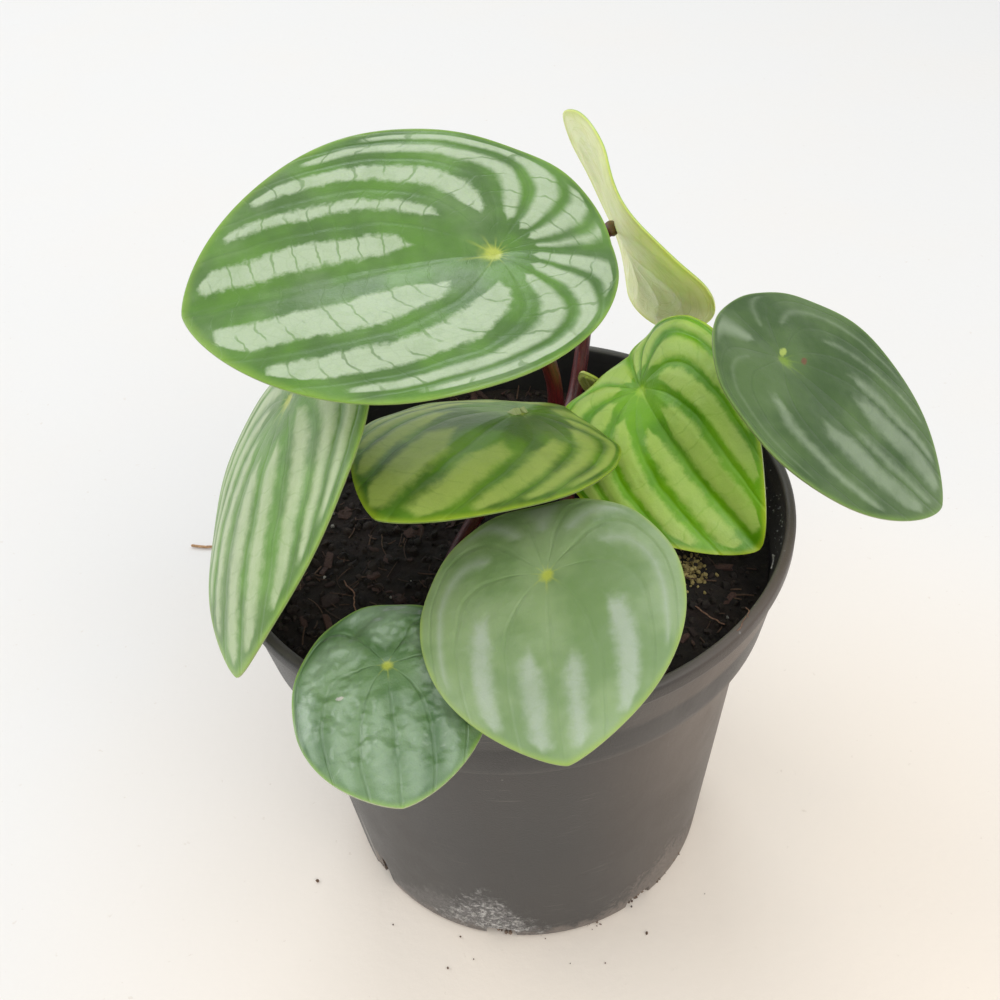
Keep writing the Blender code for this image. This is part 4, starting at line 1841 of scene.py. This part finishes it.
def leaves() -> list[Leaf]:
    """The nine leaves, each with its own sizes, stalk and finish."""
    rows = {
        "big": (
            ((0.6, 1.6, 139.0), 191, -4, -16, 32.7, 29.0, 13.0, 0.11, 16, 5, 10, 6, 8),
            (60, 80, 20, 12, 1.7, 1.3),
            LeafFinish(
                (0.098, 0.240, 0.016), (0.062, 0.150, 0.018), (0.44, 0.535, 0.35), (0.24, 0.40, 0.04),
                ((8, 17), (61, 10), (105, 9), (130, 4.5), (152, 4), (176, 6), (-38, 12), (-70, 10), (-104, 9),
                 (-129, 5), (-151, 4), (-170, 4)),
                start=0.36, pucker=0.12, quilt=0.06, blur=1.8,
            ),
        ),
        "left": (
            ((-36.6, -1.4, 115.5), 244, 25, 42, 29.1, 25.8, 12.0, 0.18, 30, 6, 23, 8, -1),
            (172, 20, 26, 24, 1.6, 1.2),
            LeafFinish(
                (0.118, 0.290, 0.018), (0.076, 0.192, 0.010), (0.51, 0.60, 0.345), (0.30, 0.46, 0.07),
                ((10, 7), (47, 11), (84, 8), (112, 6), (138, 5), (165, 5), (-27, 10), (-62, 9),
                 (-96, 7), (-126, 6), (-155, 5)),
                start=0.34, silvering=0.86, pucker=0.2, blur=3.8, cross=0.3,
            ),
        ),
        "middle": (
            ((3.3, 3.8, 105.7), 233, -26, 2, 26.2, 22.6, 9.1, 0.19, 37, 11, 5, 10, -8),
            (-150, 50, 8, 7, 1.5, 1.2),
            LeafFinish(
                (0.110, 0.255, 0.006), (0.045, 0.125, 0.003), (0.42, 0.52, 0.115), (0.34, 0.46, 0.02),
                ((10, 8), (54, 9), (94, 7), (125, 6), (152, 5), (178, 5), (-40, 8), (-80, 7),
                 (-112, 6), (-142, 5)),
                start=0.56, silvering=0.78, pucker=0.2, blur=4.2, cross=0.25, glow=0.25,
                coat=0.05, gloss=0.42,
            ),
        ),
        "bright": (
            ((26.2, 15.4, 100.0), -78, 6, 46, 21.1, 19.9, 9.3, 0.31, 44, 32, 23, -3, 19),
            (-20, 45, 6, 8, 1.5, 1.1),
            LeafFinish(
                (0.195, 0.465, 0.002), (0.100, 0.300, 0.001), (0.52, 0.68, 0.155), (0.54, 0.68, 0.03),
                ((0, 6), (42, 9), (84, 7), (120, 6), (150, 5), (178, 5), (-33, 8), (-70, 7),
                 (-105, 6), (-140, 5)),
                start=0.36, silvering=0.8, pucker=0.6, quilt=0.22, wave=0.5, relief=0.00026,
                gloss=0.4, blur=2.4, cross=0.35, glow=0.35, coat=0.06, spot=(0.42, 0.66, 0.05),
            ),
        ),
        "right": (
            ((49.5, 3.1, 113.5), -31, 30, -1, 24.5, 21.6, 10.8, 0.10, 12, 5, 5, 9, 3),
            (15, 22, 22, 16, 1.6, 1.2),
            LeafFinish(
                (0.088, 0.160, 0.040), (0.042, 0.095, 0.016), (0.40, 0.48, 0.33), (0.17, 0.29, 0.05),
                ((0, 10), (36, 4), (66, 15), (100, 17), (135, 17), (168, 16), (-22, 6), (-66, 15), (-112, 20),
                 (-145, 16)),
                start=0.52, silvering=0.5, pucker=0.12, gloss=0.36, blur=4.4, cross=0.15, glow=0.1,
                spot=(0.20, 0.32, 0.03),
                marks=((3.4, 3.2, 0.8, (0.16, 0.07, 0.03)), (-0.6, 1.6, 0.9, (0.40, 0.50, 0.10))),
            ),
        ),
        "front": (
            ((5.1, -34.1, 101.8), -90, 1, 12, 23.6, 21.1, 6.1, 0.17, 12, 6, 7, 7, 1),
            (-85, 22, 22, 16, 1.6, 1.2),
            LeafFinish(
                (0.270, 0.375, 0.170), (0.180, 0.285, 0.102), (0.46, 0.52, 0.42), (0.32, 0.44, 0.08),
                ((-2, 10), (38, 17), (98, 20), (135, 14), (165, 10), (-45, 15), (-100, 20),
                 (-138, 14), (-168, 10)),
                start=0.58, silvering=0.74, pucker=0.08, quilt=0.1, gloss=0.38, blur=5.0, cross=0.15,
            ),
        ),
        "low": (
            ((-20.7, -43.2, 93.1), -84, 5, 4, 17.6, 15.7, 5.1, 0.10, 7, 4, 5, 6, -1),
            (-130, 15, 30, 16, 1.5, 1.1),
            LeafFinish(
                (0.160, 0.275, 0.115), (0.080, 0.170, 0.062), (0.34, 0.46, 0.31), (0.26, 0.42, 0.08),
                ((0, 8), (44, 14), (96, 14), (148, 12), (-42, 14), (-94, 14), (-146, 12)),
                start=0.4, silvering=0.55, pucker=0.1, quilt=0.85, relief=0.00036, gloss=0.2,
                blur=6.0, cross=0.1,
                coat=0.8, marks=((4.4, -8.0, 0.55, (0.62, 0.58, 0.52)),),
            ),
        ),
        "back": (
            ((25.9, 41.6, 120.4), 59, 54, 60, 24.8, 25.5, 1.5, 0.10, 20, -12, 38, -71, 1),
            (62, 24, 14, 6, 1.7, 1.3),
            LeafFinish(
                (0.150, 0.290, 0.050), (0.090, 0.200, 0.030), (0.44, 0.57, 0.32), (0.30, 0.44, 0.07),
                ((0, 8), (42, 8), (84, 7), (120, 6), (150, 5), (178, 5), (-38, 8), (-78, 7),
                 (-112, 6), (-145, 5)),
                # The pale and olive underside colours are the real pale underside, made lighter to paint in the
                # glow of light shining through the blade from behind.
                start=0.4, pucker=0.25, glow=0.7, pale=(0.90, 0.94, 0.54), olive=(0.62, 0.68, 0.12),
            ),
        ),
        "young": (
            ((18.9, 29.2, 91.3), 235, -66, 0, 4.4, 3.2, 0.8, 0.25, 10, 5, 20, 20, 10),
            (20, 55, 3, 2, 0.9, 0.8),
            LeafFinish(
                (0.40, 0.50, 0.05), (0.28, 0.38, 0.03), (0.54, 0.60, 0.20), (0.48, 0.54, 0.06),
                ((0, 8), (45, 9), (95, 9), (140, 9), (180, 9), (-45, 9), (-95, 9), (-140, 9)),
                start=0.45, silvering=0.6, pucker=0.05, quilt=0.02, wave=0.08, blur=3.0, cross=0.0,
                pale=(0.55, 0.62, 0.16), olive=(0.40, 0.46, 0.08),
            ),
        ),
    }
    return [
        Leaf(name, BladeSize(*blade), StalkSize(*stalk), finish, seed)
        for seed, (name, (blade, stalk, finish)) in enumerate(rows.items(), start=1)
    ]


def litter() -> tuple[Scatter, ...]:
    """What is strewn over the soil."""
    return (
        Scatter(Bit.CRUMB, 2600, 0.5, 2.4, (0.009, 0.006, 0.005), (0.040, 0.025, 0.018), 21),
        Scatter(Bit.BARK, 260, 1.2, 4.6, (0.022, 0.011, 0.009), (0.095, 0.045, 0.034), 22),
        Scatter(Bit.FIBRE, 420, 2.0, 7.5, (0.035, 0.018, 0.012), (0.15, 0.085, 0.05), 23, 0.7),
        Scatter(Bit.PERLITE, 46, 0.3, 1.0, (0.22, 0.21, 0.19), (0.60, 0.58, 0.54), 24, 0.7),
        Scatter(Bit.MOSS, 190, 0.35, 1.1, (0.14, 0.10, 0.03), (0.52, 0.42, 0.16), 25, 0.85),
    )


def main() -> None:
    """Builds the plant, the pot, the soil and the studio, in that order."""
    logging.basicConfig(level=logging.INFO, format="%(name)s %(message)s")
    groups = {"flow": vein_flow(), "face": leaf_face(), "back": leaf_back_face(), "dust": dust()}
    stalk_skin = StalkFinish().material()
    for leaf in leaves():
        leaf.build_blade()
        leaf.build_stalk()
        leaf.dress_blade(groups)
        leaf.stem.data.materials.append(stalk_skin)
        leaf.finish_off()
    Crown().make()
    Pot().make(groups)
    soil = Soil(scatters=litter())
    soil.make()
    WallBits(soil).make()
    Studio().make(soil)


if __name__ == "__main__":
    main()
